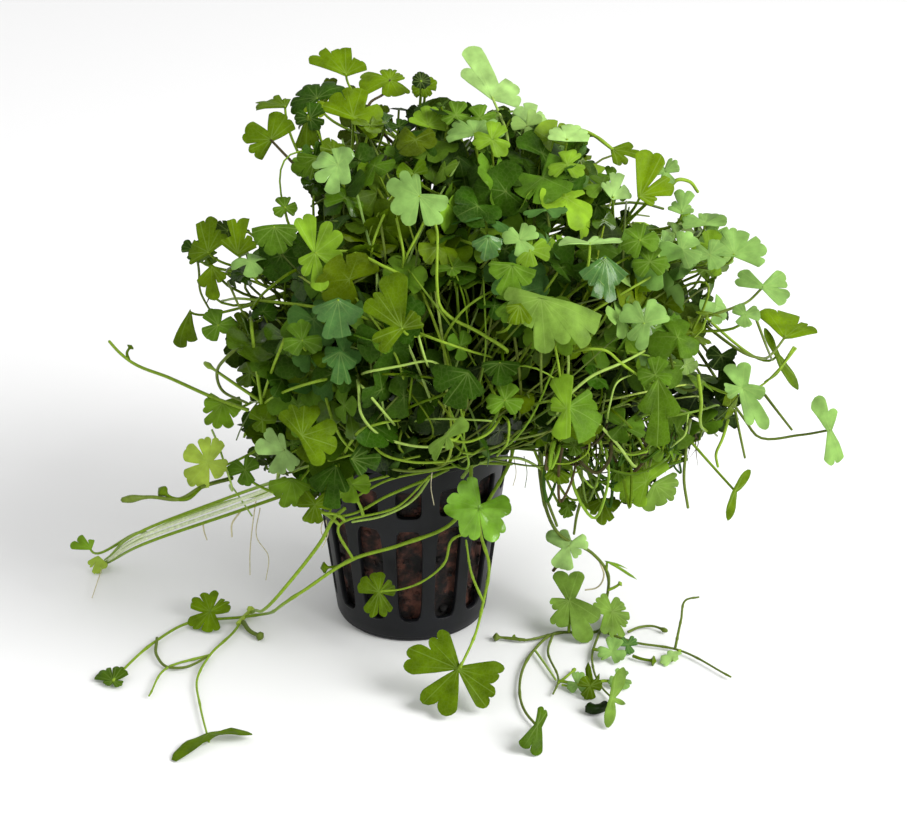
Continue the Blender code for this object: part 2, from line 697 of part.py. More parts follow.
def slot_cutter(bearing, bottom, top, width):
    """A block through the wall at a bearing, for one slot."""
    radius = POT_BASE_RADIUS + (POT_TOP_RADIUS - POT_BASE_RADIUS) * (bottom + top) / (2.0 * POT_HEIGHT)
    work = bmesh.new()
    bmesh.ops.create_cube(work, size=1.0)
    bmesh.ops.scale(work, vec=(CUTTER_DEPTH, width, top - bottom), verts=work.verts)
    bmesh.ops.translate(work, vec=(radius, 0.0, (bottom + top) / 2.0), verts=work.verts)
    turn = Matrix.Rotation(bearing, 3, "Z")
    bmesh.ops.rotate(work, cent=(0.0, 0.0, 0.0), matrix=turn, verts=work.verts)
    mesh = bpy.data.meshes.new("slot")
    work.to_mesh(mesh)
    work.free()
    return mesh


def build_pot(collection, cutters, material):
    """The net pot, with two rings of slots cut through its wall."""
    pot = add_object("net_pot", turned_mesh("net_pot", pot_profile(), POT_SIDES), collection, material)
    slots = bpy.data.collections.new("slot_cutters")
    cutters.children.link(slots)
    for index in range(SLOT_COUNT):
        bearing = 2.0 * math.pi * (index + 0.5) / SLOT_COUNT
        for bottom, top, width in (
            (LONG_SLOT_BOTTOM, LONG_SLOT_TOP, LONG_SLOT_WIDTH),
            (SHORT_SLOT_BOTTOM, SHORT_SLOT_TOP, SHORT_SLOT_WIDTH),
        ):
            cutter = add_object("slot", slot_cutter(bearing, bottom, top, width), slots)
            cutter.hide_render = True
            cutter.display_type = "WIRE"
    cut = pot.modifiers.new("slots", "BOOLEAN")
    cut.operation = "DIFFERENCE"
    cut.solver = "EXACT"
    cut.operand_type = "COLLECTION"
    cut.collection = slots
    return pot


def build_medium(collection, material):
    """The plug of growing medium: a tapered lumpy column that fills the pot to just below its rim."""
    slope = (POT_TOP_RADIUS - POT_BASE_RADIUS) / POT_HEIGHT
    bottom = POT_FLOOR + GAP
    fit = POT_WALL + 2.0 * GAP
    work = bmesh.new()
    height = MEDIUM_TOP - bottom
    sides = MEDIUM_SIDES
    bmesh.ops.create_cone(work, cap_ends=True, segments=sides, radius1=1.0, radius2=1.0, depth=height)
    rails = [edge for edge in work.edges if abs(edge.verts[0].co.z - edge.verts[1].co.z) > height / 2.0]
    bmesh.ops.subdivide_edges(work, edges=rails, cuts=MEDIUM_RINGS - 2, use_grid_fill=True)
    for vertex in work.verts:
        z = vertex.co.z + height / 2.0 + bottom
        angle = math.atan2(vertex.co.y, vertex.co.x)
        room = POT_BASE_RADIUS + slope * z - fit
        wave = math.sin(5.0 * angle + 310.0 * z) * math.cos(3.0 * angle - 520.0 * z)
        radius = room - MEDIUM_LUMP * (0.5 + 0.5 * wave)
        vertex.co = (radius * math.cos(angle), radius * math.sin(angle), z)
    mesh = bpy.data.meshes.new("growing_medium")
    work.to_mesh(mesh)
    work.free()
    return add_object("growing_medium", mesh, collection, material)


def main():
    """Build every shoot, then the pot and the medium."""
    clear_scene()
    collection = make_collection("pennywort")
    cutters = make_collection("cutters")
    green = make_material("leaf_green", (0.12, 0.3, 0.03), 0.5)
    shoots = grow_shoots()
    for leaf in LEAVES:
        via = [on_mound(place, leaf.deep * MM + STALK_STEP * (n + 1)) for n, place in enumerate(leaf.via)]
        add_leaf(shoots, place_leaf(leaf), via, leaf.name)
    for index in range(BACK_LEAVES):
        blade = spiral_blade(index, BACK_LEAVES)
        if blade is not None:
            add_leaf(shoots, blade, [], f"back_{index:02d}")
    for shoot in shoots:
        join_shoot(shoot, collection, green)
    build_pot(collection, cutters, make_material("black_plastic", (0.012, 0.012, 0.014), 0.4))
    build_medium(collection, make_material("coir", (0.07, 0.028, 0.018), 0.95))


main()
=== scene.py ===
"""The looks of a three-lobed pennywort in a slotted net pot.

The plant is grown here as the construction grows it: the same shoots and runners, and the same
leaves of the front, placed by where they show in a picture that is 909 by 831 pixels. Between
them stand the young leaves, stalks, buds and roots that are too fine for the solids. Every
length in the tables is in mm, and every mesh is in metres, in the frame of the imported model.
"""

import logging
import math
from dataclasses import dataclass, field
from enum import Enum

import bmesh
import bpy
import numpy as np
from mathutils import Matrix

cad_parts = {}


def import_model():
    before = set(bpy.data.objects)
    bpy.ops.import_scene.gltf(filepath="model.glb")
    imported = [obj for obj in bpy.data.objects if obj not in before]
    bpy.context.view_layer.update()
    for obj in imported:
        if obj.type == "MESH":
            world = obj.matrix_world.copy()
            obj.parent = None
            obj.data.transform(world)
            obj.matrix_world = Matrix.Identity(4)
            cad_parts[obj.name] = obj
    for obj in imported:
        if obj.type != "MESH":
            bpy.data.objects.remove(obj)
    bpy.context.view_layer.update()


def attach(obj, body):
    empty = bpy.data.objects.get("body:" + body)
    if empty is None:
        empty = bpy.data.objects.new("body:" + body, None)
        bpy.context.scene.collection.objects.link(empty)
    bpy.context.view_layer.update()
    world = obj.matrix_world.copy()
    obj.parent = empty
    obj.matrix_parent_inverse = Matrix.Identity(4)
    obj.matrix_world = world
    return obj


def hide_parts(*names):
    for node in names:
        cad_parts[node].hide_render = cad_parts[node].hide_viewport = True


MM = 0.001
GOLDEN_ANGLE = math.radians(137.508)
LOG = logging.getLogger("pennywort")


class Tone(Enum):
    """The greens of the leaves and stalks, as sRGB hex values."""

    OLIVE_BRIGHT = "#6b8804"
    OLIVE = "#587204"
    OLIVE_DARK = "#48660c"
    DARK = "#2e4e06"
    SHADE = "#162804"
    MID = "#587c1a"
    BRIGHT = "#7ca226"
    FRESH = "#729238"
    LIME = "#8fc63a"
    YELLOW = "#aac24a"
    PALE = "#84aa58"
    VERY_PALE = "#a8cd78"
    # Bluish green whose blue stands in for the white sky's sheen on wet leaves: a painted reflection.
    BLUISH_SHEEN = "#4c7836"
    BROWN = "#4a4226"
    STALK = "#82a02c"
    STALK_PALE = "#9ab655"
    STALK_DARK = "#64762c"
    # Whitish stalk tone: a painted highlight down the middle of the stem bundle.
    STALK_HIGHLIGHT = "#dce6c0"
    ROOT = "#cfc8a4"

    def colour(self) -> np.ndarray:
        """The tone as linear red, green and blue."""
        return np.array(linear(self.value))


class Finish(Enum):
    """Names for material slots, which nothing in this script uses."""

    LEAF = "leaf"
    PLASTIC = "pot_plastic"
    MEDIUM = "medium"


def linear(hex_colour: str) -> tuple[float, float, float]:
    """Turn an sRGB hex value into linear light.

    Args:
        hex_colour: a value such as #7fa312.

    Returns:
        Red, green and blue from 0 to 1, by the sRGB curve: a straight part near black, then a
        power of 2.4.
    """
    parts = [int(hex_colour[place:place + 2], 16) / 255.0 for place in (1, 3, 5)]
    return tuple(part / 12.92 if part <= 0.04045 else ((part + 0.055) / 1.055) ** 2.4 for part in parts)


@dataclass(frozen=True)
class Viewpoint:
    """Where the eye is, and the sight lines through places in the picture.

    Lengths are in mm. The focal length and the places are in pixels of the picture.
    """

    eye: tuple[float, float, float] = (10.2, -444.0, 260.7)
    look_down: float = math.radians(25.4)
    focal: float = 2146.0
    width: float = 909.0
    height: float = 831.0
    sensor: float = 36.0

    def sight(self, places: np.ndarray) -> np.ndarray:
        """The directions of the sight lines through places.

        Args:
            places: pixel places, shape (n, 2).

        Returns:
            Unit vectors, shape (n, 3): forward, plus right and up by the place's distance from
            the middle of the picture over the focal length.
        """
        places = np.atleast_2d(np.asarray(places, float))
        right = (places[:, 0] - self.width / 2.0) / self.focal
        up = (self.height / 2.0 - places[:, 1]) / self.focal
        cos, sin = math.cos(self.look_down), math.sin(self.look_down)
        lines = np.stack([right, cos + up * sin, up * cos - sin], axis=1)
        return lines / np.linalg.norm(lines, axis=1, keepdims=True)

    def meet_plane(self, places: np.ndarray, point: np.ndarray, normal: np.ndarray) -> np.ndarray:
        """Where sight lines meet a plane: the eye plus each line, stretched to reach the plane."""
        lines = self.sight(places)
        eye = np.array(self.eye)
        reach = ((np.asarray(point) - eye) @ normal) / (lines @ normal)
        return eye + lines * reach[:, None]

    def on_height(self, places: np.ndarray, height: float) -> np.ndarray:
        """Where sight lines pass through a height over the surface."""
        return self.meet_plane(places, np.array([0.0, 0.0, height]), np.array([0.0, 0.0, 1.0]))

    def ahead(self, places: np.ndarray, distance: float) -> np.ndarray:
        """Where sight lines pass so many mm in front of the pot's axis."""
        return self.meet_plane(places, np.array([0.0, -distance, 0.0]), np.array([0.0, 1.0, 0.0]))

    def project(self, points: np.ndarray) -> np.ndarray:
        """The places in the picture of points: across and up over forward, times the focal length."""
        x, y, z = np.moveaxis(np.asarray(points) - self.eye, -1, 0)
        cos, sin = math.cos(self.look_down), math.sin(self.look_down)
        forward = y * cos - z * sin
        up = y * sin + z * cos
        return np.stack([self.width / 2.0 + self.focal * x / forward,
                         self.height / 2.0 - self.focal * up / forward], axis=-1)

    def camera(self) -> bpy.types.Object:
        """Make the camera, with the picture's angle and field of view."""
        lens = bpy.data.cameras.new("camera")
        lens.sensor_fit = "HORIZONTAL"
        lens.sensor_width = self.sensor
        lens.lens = self.sensor * self.focal / self.width
        lens.clip_start = 0.01
        lens.clip_end = 20.0
        camera = bpy.data.objects.new("camera", lens)
        camera.location = np.array(self.eye) * MM
        camera.rotation_euler = (math.pi / 2.0 - self.look_down, 0.0, 0.0)
        bpy.context.scene.collection.objects.link(camera)
        bpy.context.scene.camera = camera
        return camera


VIEW = Viewpoint()


@dataclass(frozen=True)
class Mound:
    """The heap of leaves over the pot, as an ellipsoid, in mm."""

    centre: tuple[float, float, float] = (17.0, 0.0, 84.0)
    radii: tuple[float, float, float] = (68.0, 60.0, 46.0)

    def entry(self, places: np.ndarray, deep: np.ndarray) -> np.ndarray:
        """Where sight lines enter the mound, or pass nearest to it, plus a depth along them.

        Args:
            places: pixel places, shape (n, 2).
            deep: how far past the mound's front each point lies.

        Returns:
            Points, shape (n, 3): the nearer root of the quadratic that a line and an ellipsoid
            make, with a root of nothing where the line misses.
        """
        lines = VIEW.sight(places)
        start = (np.array(VIEW.eye) - self.centre) / self.radii
        way = lines / self.radii
        square = (way * way).sum(1)
        half = -(way @ start) / square
        inside = half * half - (start @ start - 1.0) / square
        reach = half - np.sqrt(np.maximum(inside, 0.0)) + deep
        return np.array(VIEW.eye) + lines * reach[:, None]

    def shell(self, out: np.ndarray, reach: np.ndarray) -> np.ndarray:
        """Points in directions from the middle, at a share of the mound's radii."""
        return np.array(self.centre) + out * self.radii * reach[:, None]


MOUND = Mound()


@dataclass(frozen=True)
class Leaf:
    """A leaf read from the picture: its junction, its lobe tips, and how the blade is turned.

    lean tips the top of the blade away from the eye and swing turns it to the right, in degrees.
    deep is how far behind the mound's front it lies. ahead puts it that far before the pot's axis
    instead, and rests stands its lowest tip on the surface. via are places that its stalk passes.
    cut is how near the junction the notches between its lobes come, as a share of their length,
    and half is the greatest half angle of a lobe. shared names pairs of tips, by their numbers,
    that stand on one lobe and so have only a shallow notch between them.
    """

    name: str
    at: tuple
    tips: tuple
    lean: float
    swing: float
    deep: float
    tone: Tone
    ahead: float | None = None
    rests: bool = False
    via: tuple = ()
    wet: float = 0.0
    cup: float = 0.0
    cut: float = 0.28
    half: float = 32.0
    stalk: Tone = Tone.STALK
    shared: tuple = ()


LEAVES = (
    Leaf("crown_peak", (346, 74), ((313, 51), (340, 44), (364, 61)), 25, 0, 4, Tone.OLIVE_BRIGHT,
         cut=0.75),
    Leaf("crown_rim", (390, 80), ((358, 77), (388, 67), (403, 76), (399, 97)), 50, 10, 2,
         Tone.OLIVE_BRIGHT, via=((388, 88), (370, 103)), stalk=Tone.BROWN, cut=0.5),
    Leaf("crown_mid", (353, 117), ((327, 98), (356, 85), (385, 123)), 20, 0, -3, Tone.OLIVE_BRIGHT,
         cut=0.45, half=36),
    Leaf("crown_dark", (317, 98), ((288, 106), (303, 82), (342, 80)), 45, -10, 6, Tone.DARK, cut=0.5),
    Leaf("far_left_high", (285, 106), ((253, 103), (270, 94), (287, 98)), 55, 0, 0, Tone.OLIVE,
         cut=0.7),
    Leaf("far_left", (271, 140), ((287, 113), (244, 131), (251, 156)), 15, -10, -4, Tone.OLIVE,
         via=((292, 162),), stalk=Tone.BROWN, cut=0.35),
    Leaf("pale_upper_left", (338, 165), ((313, 158), (346, 148), (347, 186), (331, 196), (317, 182)), 30, 0,
         -5, Tone.PALE, wet=1.0, cup=0.1, cut=0.5),
    Leaf("crown_bud_leaf", (425, 87), ((415, 76), (437, 82), (427, 98), (411, 92)), 15, 0, 5, Tone.OLIVE_BRIGHT,
         cut=0.6),
    Leaf("crown_bud_dark", (421, 81), ((412, 78), (423, 71), (431, 80), (421, 90)), 10, 0, -5, Tone.SHADE,
         cut=0.9, half=44),
    Leaf("centre_pale", (419, 196), ((384, 182), (400, 170), (415, 173), (389, 212), (405, 227),
                                     (450, 207), (437, 228)), 12, 0, -6, Tone.PALE,
         via=((436, 226), (437, 260), (437, 285), (441, 308), (450, 317), (475, 330), (500, 345)),
         cut=0.12, half=30, shared=((0, 1), (1, 2), (0, 3), (3, 4), (5, 6))),
    Leaf("peak_pale", (492, 97), ((468, 46), (521, 88), (462, 72)), 30, 0, 2, Tone.VERY_PALE,
         via=((500, 115), (507, 135)), stalk=Tone.STALK_PALE, cut=0.55),
    Leaf("peak_right", (528, 122), ((516, 107), (531, 101), (547, 117)), 40, 0, 5, Tone.VERY_PALE,
         cut=0.6),
    Leaf("crown_grey", (475, 133), ((446, 126), (477, 118), (504, 128)), 45, 0, 0, Tone.PALE, cut=0.6),
    Leaf("ridge_pale", (567, 139), ((550, 131), (572, 121), (590, 134)), 40, 0, -2, Tone.VERY_PALE,
         cut=0.6),
    Leaf("ridge_lobe", (613, 149), ((641, 158), (632, 147), (622, 166)), 40, 20, 3, Tone.OLIVE,
         via=((595, 136),), cut=0.5),
    Leaf("ridge_upright", (640, 196), ((653, 149), (675, 183), (657, 203)), 10, 10, 0, Tone.OLIVE_BRIGHT,
         cut=0.3, half=15),
    Leaf("ridge_yellow", (613, 197), ((604, 182), (618, 170), (631, 190)), 20, 0, 4, Tone.VERY_PALE,
         cut=0.5),
    Leaf("shoulder", (682, 212), ((669, 204), (685, 190), (694, 208)), 30, 0, 4, Tone.PALE, cut=0.5),
    Leaf("flat_middle", (590, 243), ((556, 242), (624, 242), (600, 239)), 76, 0, -6, Tone.VERY_PALE),
    Leaf("shoulder_pale", (705, 224), ((681, 219), (710, 209), (728, 221)), 50, 0, 2, Tone.PALE,
         cut=0.5),
    Leaf("right_pale", (734, 254), ((706, 242), (735, 228), (766, 255)), 30, 10, -2, Tone.PALE,
         cut=0.6),
    Leaf("right_three", (763, 287), ((738, 272), (788, 276), (790, 301)), 25, 15, 0, Tone.PALE,
         via=((750, 300), (735, 307)), stalk=Tone.STALK_DARK, cut=0.12, half=26),
    Leaf("right_edge", (785, 337), ((764, 315), (789, 313), (813, 326)), 60, 0, 0, Tone.OLIVE_BRIGHT,
         via=((777, 348), (755, 357)), stalk=Tone.STALK_DARK, cut=0.75),
    Leaf("right_spoon", (777, 356), ((797, 391), (765, 327)), 20, 30, 3, Tone.OLIVE, cut=0.3, half=10),
    Leaf("right_broad", (742, 388), ((727, 362), (745, 361), (724, 392), (770, 427), (753, 425), (766, 396)),
         20, 15, -3, Tone.PALE, cut=0.3, half=28, shared=((0, 1), (3, 4), (3, 5))),
    Leaf("far_right", (830, 430), ((812, 398), (831, 407), (834, 467)), 5, 35, 0, Tone.PALE,
         via=((800, 435), (757, 436), (745, 420)), stalk=Tone.STALK_DARK, cut=0.3, half=19,
         shared=((0, 1),)),
    Leaf("hanging_dark", (735, 491), ((749, 469), (729, 521)), 0, 40, 0, Tone.OLIVE,
         via=((716, 470), (700, 452)), cut=0.3, half=12),
    Leaf("right_middle", (644, 323), ((623, 306), (665, 304), (641, 350), (628, 340)), 10, 0, -4,
         Tone.PALE, cut=0.25),
    Leaf("four_lobed", (315, 253), ((303, 212), (330, 222), (345, 232), (343, 262), (297, 264), (303, 276),
                                    (321, 293)), 5, -5, -5, Tone.BRIGHT, via=((352, 252), (385, 267)),
         cut=0.15, half=24, shared=((1, 2), (2, 3), (4, 5))),
    Leaf("centre_upright", (402, 328), ((366, 296), (392, 270), (380, 352), (373, 340), (422, 316)), 5, -10,
         -4, Tone.OLIVE, cut=0.35, half=34, shared=((0, 1), (2, 3))),
    Leaf("light_middle", (512, 266), ((489, 272), (508, 297), (534, 283)), 25, 0, -4, Tone.MID,
         cut=0.5),
    Leaf("folded_front", (541, 299), ((504, 301), (521, 324), (545, 347), (568, 341), (590, 342), (604, 322)),
         20, 0, -6, Tone.FRESH, cup=-0.22, cut=0.8, half=38),
    Leaf("folded_left", (520, 306), ((506, 312), (512, 325), (527, 322)), 30, -20, -7, Tone.OLIVE, cut=0.55),
    # The bluish leaves carry the sky's sheen painted into their green, besides their real gloss.
    Leaf("broad_bluish", (605, 258), ((584, 281), (604, 301), (624, 282)), 15, 10, -2, Tone.BLUISH_SHEEN,
         wet=0.6, cut=0.92, half=40),
    Leaf("shade_middle", (468, 373), ((432, 379), (452, 409), (479, 400)), 15, 0, 2, Tone.DARK,
         cut=0.55),
    Leaf("narrow_pale", (447, 437), ((466, 419), (426, 458), (452, 450)), 10, -40, -5, Tone.FRESH,
         half=18),
    Leaf("bright_low", (567, 409), ((560, 372), (549, 402), (557, 441)), 15, -25, -6, Tone.BRIGHT,
         via=((590, 417), (612, 438), (636, 465)), stalk=Tone.STALK_PALE, cut=0.3, half=17),
    Leaf("shade_low", (569, 407), ((598, 396), (604, 424), (590, 442)), 20, 15, -5, Tone.MID,
         cut=0.85, half=30),
    Leaf("olive_low", (658, 380), ((643, 412), (660, 445), (676, 414)), 10, 10, -4, Tone.OLIVE_DARK,
         cut=0.85, half=30, cup=-0.15),
    Leaf("bluish_left", (338, 300), ((315, 317), (336, 340), (360, 320)), 15, -5, -1, Tone.BLUISH_SHEEN,
         wet=0.7, cut=0.8, half=38),
    Leaf("left_high", (208, 252), ((206, 216), (224, 231), (187, 252)), 15, -25, 0, Tone.OLIVE,
         cut=0.6),
    Leaf("left_wide", (274, 227), ((252, 240), (275, 254), (297, 236)), 15, -10, -1, Tone.MID,
         cut=0.6),
    Leaf("left_hanging", (212, 267), ((199, 287), (213, 300), (225, 281)), 5, -25, 2, Tone.OLIVE_BRIGHT,
         cut=0.5),
    Leaf("left_spoon", (190, 312), ((181, 347), (195, 343)), 0, -30, 0, Tone.OLIVE, cut=0.8, half=20),
    Leaf("left_bright", (223, 403), ((202, 400), (217, 427), (243, 408)), 25, 0, -2, Tone.BRIGHT,
         cut=0.5),
    Leaf("left_yellow", (208, 462), ((184, 450), (190, 486), (222, 438), (226, 472), (204, 436)), 10,
         -10, -2, Tone.YELLOW, cut=0.3),
    Leaf("left_bluish", (284, 450), ((253, 445), (265, 429), (281, 434), (276, 477), (297, 470)), 10, -10,
         -8, Tone.VERY_PALE, cut=0.3, half=30, shared=((0, 1), (1, 2), (3, 4))),
    Leaf("left_olive", (302, 436), ((284, 405), (312, 402), (337, 424), (340, 447), (322, 463)), 10, 0, -13,
         Tone.OLIVE, cut=0.3, half=30, shared=((0, 1), (2, 3), (3, 4))),
    Leaf("low_left", (292, 480), ((269, 490), (290, 508), (309, 492)), 20, 0, -4, Tone.BRIGHT, cut=0.6),
    Leaf("low_gap", (352, 459), ((366, 447), (382, 463), (365, 475)), 10, 0, -12, Tone.DARK, cut=0.5),
    Leaf("pot_gloss", (479, 508), ((463, 477), (442, 503), (466, 539), (513, 503), (500, 538)),
         10, 0, 0, Tone.LIME, ahead=34, wet=1.0, cut=0.12, cup=0.1, half=21,
         shared=((0, 1), (1, 2), (3, 4))),
    Leaf("pot_small", (379, 592), ((357, 582), (377, 571), (396, 586), (368, 616), (388, 616)), 5, 0,
         0, Tone.OLIVE, ahead=25, cut=0.22),
    Leaf("front_large", (458, 669), ((403, 656), (434, 633), (504, 674), (494, 706), (444, 720), (422, 704)),
         10, 0, 0, Tone.OLIVE, rests=True, cut=0.08, half=26, shared=((0, 1), (2, 3), (4, 5))),
    Leaf("floor_left", (210, 613), ((209, 590), (231, 606), (191, 602), (190, 625), (211, 634)), 35, 0,
         0, Tone.OLIVE_BRIGHT, rests=True, cut=0.3),
    Leaf("floor_far_left", (113, 681), ((98, 669), (124, 668), (104, 686), (122, 687)), 40, 0, 0,
         Tone.OLIVE_DARK, rests=True, cut=0.35),
    Leaf("floor_edge", (209, 743), ((171, 761), (253, 739)), 66, -8, 0, Tone.OLIVE, rests=True, half=13),
    Leaf("bundle_tip", (90, 548), ((70, 544), (78, 536), (92, 539)), 20, -10, 0, Tone.BRIGHT,
         ahead=7, cut=0.5),
    Leaf("bundle_foot", (98, 560), ((88, 567), (96, 576), (106, 570)), 20, -10, 0, Tone.YELLOW,
         rests=True, cut=0.4),
    Leaf("trail_pale", (569, 546), ((546, 532), (562, 528), (590, 540), (560, 571), (580, 556)), 10, 0,
         0, Tone.VERY_PALE, ahead=9, cut=0.3),
    Leaf("trail_middle", (569, 604), ((558, 571), (579, 571), (549, 610), (556, 634), (586, 645), (602, 624)),
         15, 0, 0, Tone.FRESH, rests=True, cut=0.2, half=28, shared=((0, 1), (2, 3), (4, 5))),
    Leaf("trail_yellow", (612, 612), ((594, 600), (622, 602), (630, 622), (612, 640)), 25, 20, 0,
         Tone.FRESH, rests=True, cut=0.5),
    Leaf("trail_edge", (607, 562), ((638, 574), (628, 566)), 50, 0, 0, Tone.BRIGHT, ahead=6, half=12),
    Leaf("trail_end", (537, 727), ((546, 709), (524, 750), (538, 758)), 10, 30, 0, Tone.OLIVE_DARK,
         rests=True, half=16),
    Leaf("trail_pointed", (612, 699), ((624, 667), (627, 703), (606, 729)), 15, 20, 0, Tone.FRESH,
         rests=True, half=12),
    Leaf("trail_bud", (672, 660), ((660, 664), (676, 650), (678, 663)), 40, 0, 0, Tone.VERY_PALE,
         rests=True, cut=0.5),
    Leaf("cluster_left", (646, 482), ((655, 453), (610, 487), (620, 501), (638, 509)), 15, 0, -5, Tone.BRIGHT,
         cut=0.45, half=34, shared=((1, 2), (2, 3))),
    Leaf("cluster_right", (655, 485), ((680, 478), (677, 496), (664, 507), (648, 511)), 10, 10, -6,
         Tone.FRESH, cut=0.5, half=34, shared=((0, 1), (1, 2), (2, 3))),
    Leaf("column_high", (308, 116), ((298, 148), (306, 160), (316, 146)), 5, -20, -3, Tone.OLIVE,
         cut=0.7),
    Leaf("column_low", (316, 158), ((293, 171), (297, 157), (307, 179)), 10, -20, -3, Tone.OLIVE_DARK,
         cut=0.6),
    Leaf("trail_folded", (592, 704), ((583, 671), (598, 684)), 5, -20, 0, Tone.OLIVE, rests=True, half=14,
         shared=((0, 1),)),
    Leaf("crown_shade", (428, 126), ((411, 115), (430, 106), (449, 120)), 30, 0, 3, Tone.BRIGHT, cut=0.6),
    Leaf("behind_centre", (452, 268), ((431, 262), (474, 259), (455, 275)), 50, 0, 3, Tone.MID,
         cut=0.6),
    Leaf("gloss_middle", (488, 238), ((474, 248), (490, 260), (503, 246)), 15, 0, -3, Tone.BLUISH_SHEEN,
         wet=1.0, cut=0.8),
    Leaf("shade_right", (500, 363), ((484, 372), (503, 388), (519, 372)), 25, 0, 4, Tone.DARK, cut=0.6),
    Leaf("sheen_low", (340, 352), ((325, 366), (341, 385), (355, 367)), 15, 0, 1, Tone.BLUISH_SHEEN,
         cut=0.7),
    Leaf("low_dark", (336, 466), ((311, 489), (331, 513), (346, 492)), 10, 0, -6, Tone.DARK, cut=0.55),
    Leaf("cluster_dark", (603, 500), ((588, 510), (606, 523), (620, 508)), 15, 0, 0, Tone.OLIVE,
         cut=0.5),
    Leaf("net_dark", (592, 492), ((581, 484), (600, 480), (588, 506)), 15, 0, 2, Tone.OLIVE_DARK, cut=0.6),
    Leaf("net_low", (606, 504), ((593, 508), (611, 514), (618, 500)), 20, 0, 3, Tone.DARK, cut=0.7),
    Leaf("net_upright", (581, 498), ((577, 486), (585, 512), (589, 497)), 10, 50, 0, Tone.OLIVE, cut=0.6),
    Leaf("net_long", (556, 470), ((546, 462), (567, 484), (549, 482)), 20, 0, 3, Tone.OLIVE, cut=0.6),
    Leaf("net_left", (568, 506), ((560, 498), (577, 507), (565, 517)), 20, 10, 2, Tone.OLIVE_DARK, cut=0.6),
    Leaf("net_middle", (618, 470), ((608, 462), (628, 462), (620, 482)), 20, 0, 3, Tone.OLIVE_DARK, cut=0.5),
    Leaf("net_high", (574, 446), ((562, 440), (584, 438), (576, 457)), 20, 0, 4, Tone.OLIVE_DARK, cut=0.5),
    Leaf("left_high_two", (238, 254), ((224, 238), (238, 214), (256, 240)), 20, -15, 3, Tone.OLIVE_BRIGHT,
         cut=0.7),
)


@dataclass(frozen=True)
class Young:
    """A small leaf known by its middle, the turn of its middle lobe in degrees, and its size."""

    at: tuple
    size: float
    tone: Tone
    turn: float = 90.0
    lean: float = 30.0
    deep: float = -1.0
    rests: bool = False


YOUNG = (
    Young((310, 118), 4.0, Tone.DARK, 60),
    Young((305, 165), 3.4, Tone.MID, 120),
    Young((285, 207), 3.0, Tone.OLIVE_DARK, 100),
    Young((456, 115), 3.6, Tone.MID, 80),
    Young((480, 118), 4.0, Tone.MID, 100),
    Young((492, 140), 4.4, Tone.BRIGHT, 70),
    Young((665, 172), 3.4, Tone.PALE, 40),
    Young((640, 240), 4.4, Tone.MID, 110),
    Young((567, 165), 4.4, Tone.BRIGHT, 80, 60),
    Young((682, 250), 5.0, Tone.PALE, 70),
    Young((650, 262), 4.4, Tone.MID, 95),
    Young((710, 255), 4.0, Tone.PALE, 60),
    Young((745, 315), 3.4, Tone.PALE, 20),
    Young((194, 250), 3.0, Tone.DARK, 150),
    Young((520, 240), 4.0, Tone.PALE, 45, 20, -3.0),
    Young((530, 250), 4.2, Tone.BRIGHT, 10, 20, -3.0),
    Young((515, 300), 5.6, Tone.MID, 0, 80, -4.0),
    Young((520, 310), 3.6, Tone.YELLOW, 200),
    Young((505, 400), 4.4, Tone.MID, 80),
    Young((655, 375), 4.2, Tone.MID, 80),
    Young((302, 340), 4.6, Tone.MID, 100),
    Young((218, 325), 4.4, Tone.MID, 110),
    Young((250, 262), 4.2, Tone.PALE, 170, 75),
    Young((245, 470), 4.0, Tone.MID, 160),
    Young((352, 485), 4.6, Tone.BRIGHT, 250, 20, -10.0),
    Young((315, 505), 4.4, Tone.OLIVE, 260, 20, -8.0),
    Young((612, 652), 3.8, Tone.PALE, 80, 30, 0.0, True),
    Young((628, 645), 2.6, Tone.BLUISH_SHEEN, 40, 20, 0.0, True),
    Young((590, 690), 3.2, Tone.OLIVE, 260, 10, 0.0, True),
    Young((578, 684), 3.0, Tone.PALE, 90, 10, 0.0, True),
    Young((620, 680), 3.0, Tone.PALE, 80, 10, 0.0, True),
)


@dataclass(frozen=True)
class Twig:
    """A fine stem, root or bud stem: its stops, thickness and tone, and the bud at its end.

    A stop is a place in the picture and how it lies: None is on the surface, a number from 0 up is
    how far ahead of the pot's axis it is, and a number below 0 is how far inside the mound it is.
    """

    name: str
    stops: tuple
    radius: float
    tone: Tone
    bud: float = 0.0


INSIDE = -1.0

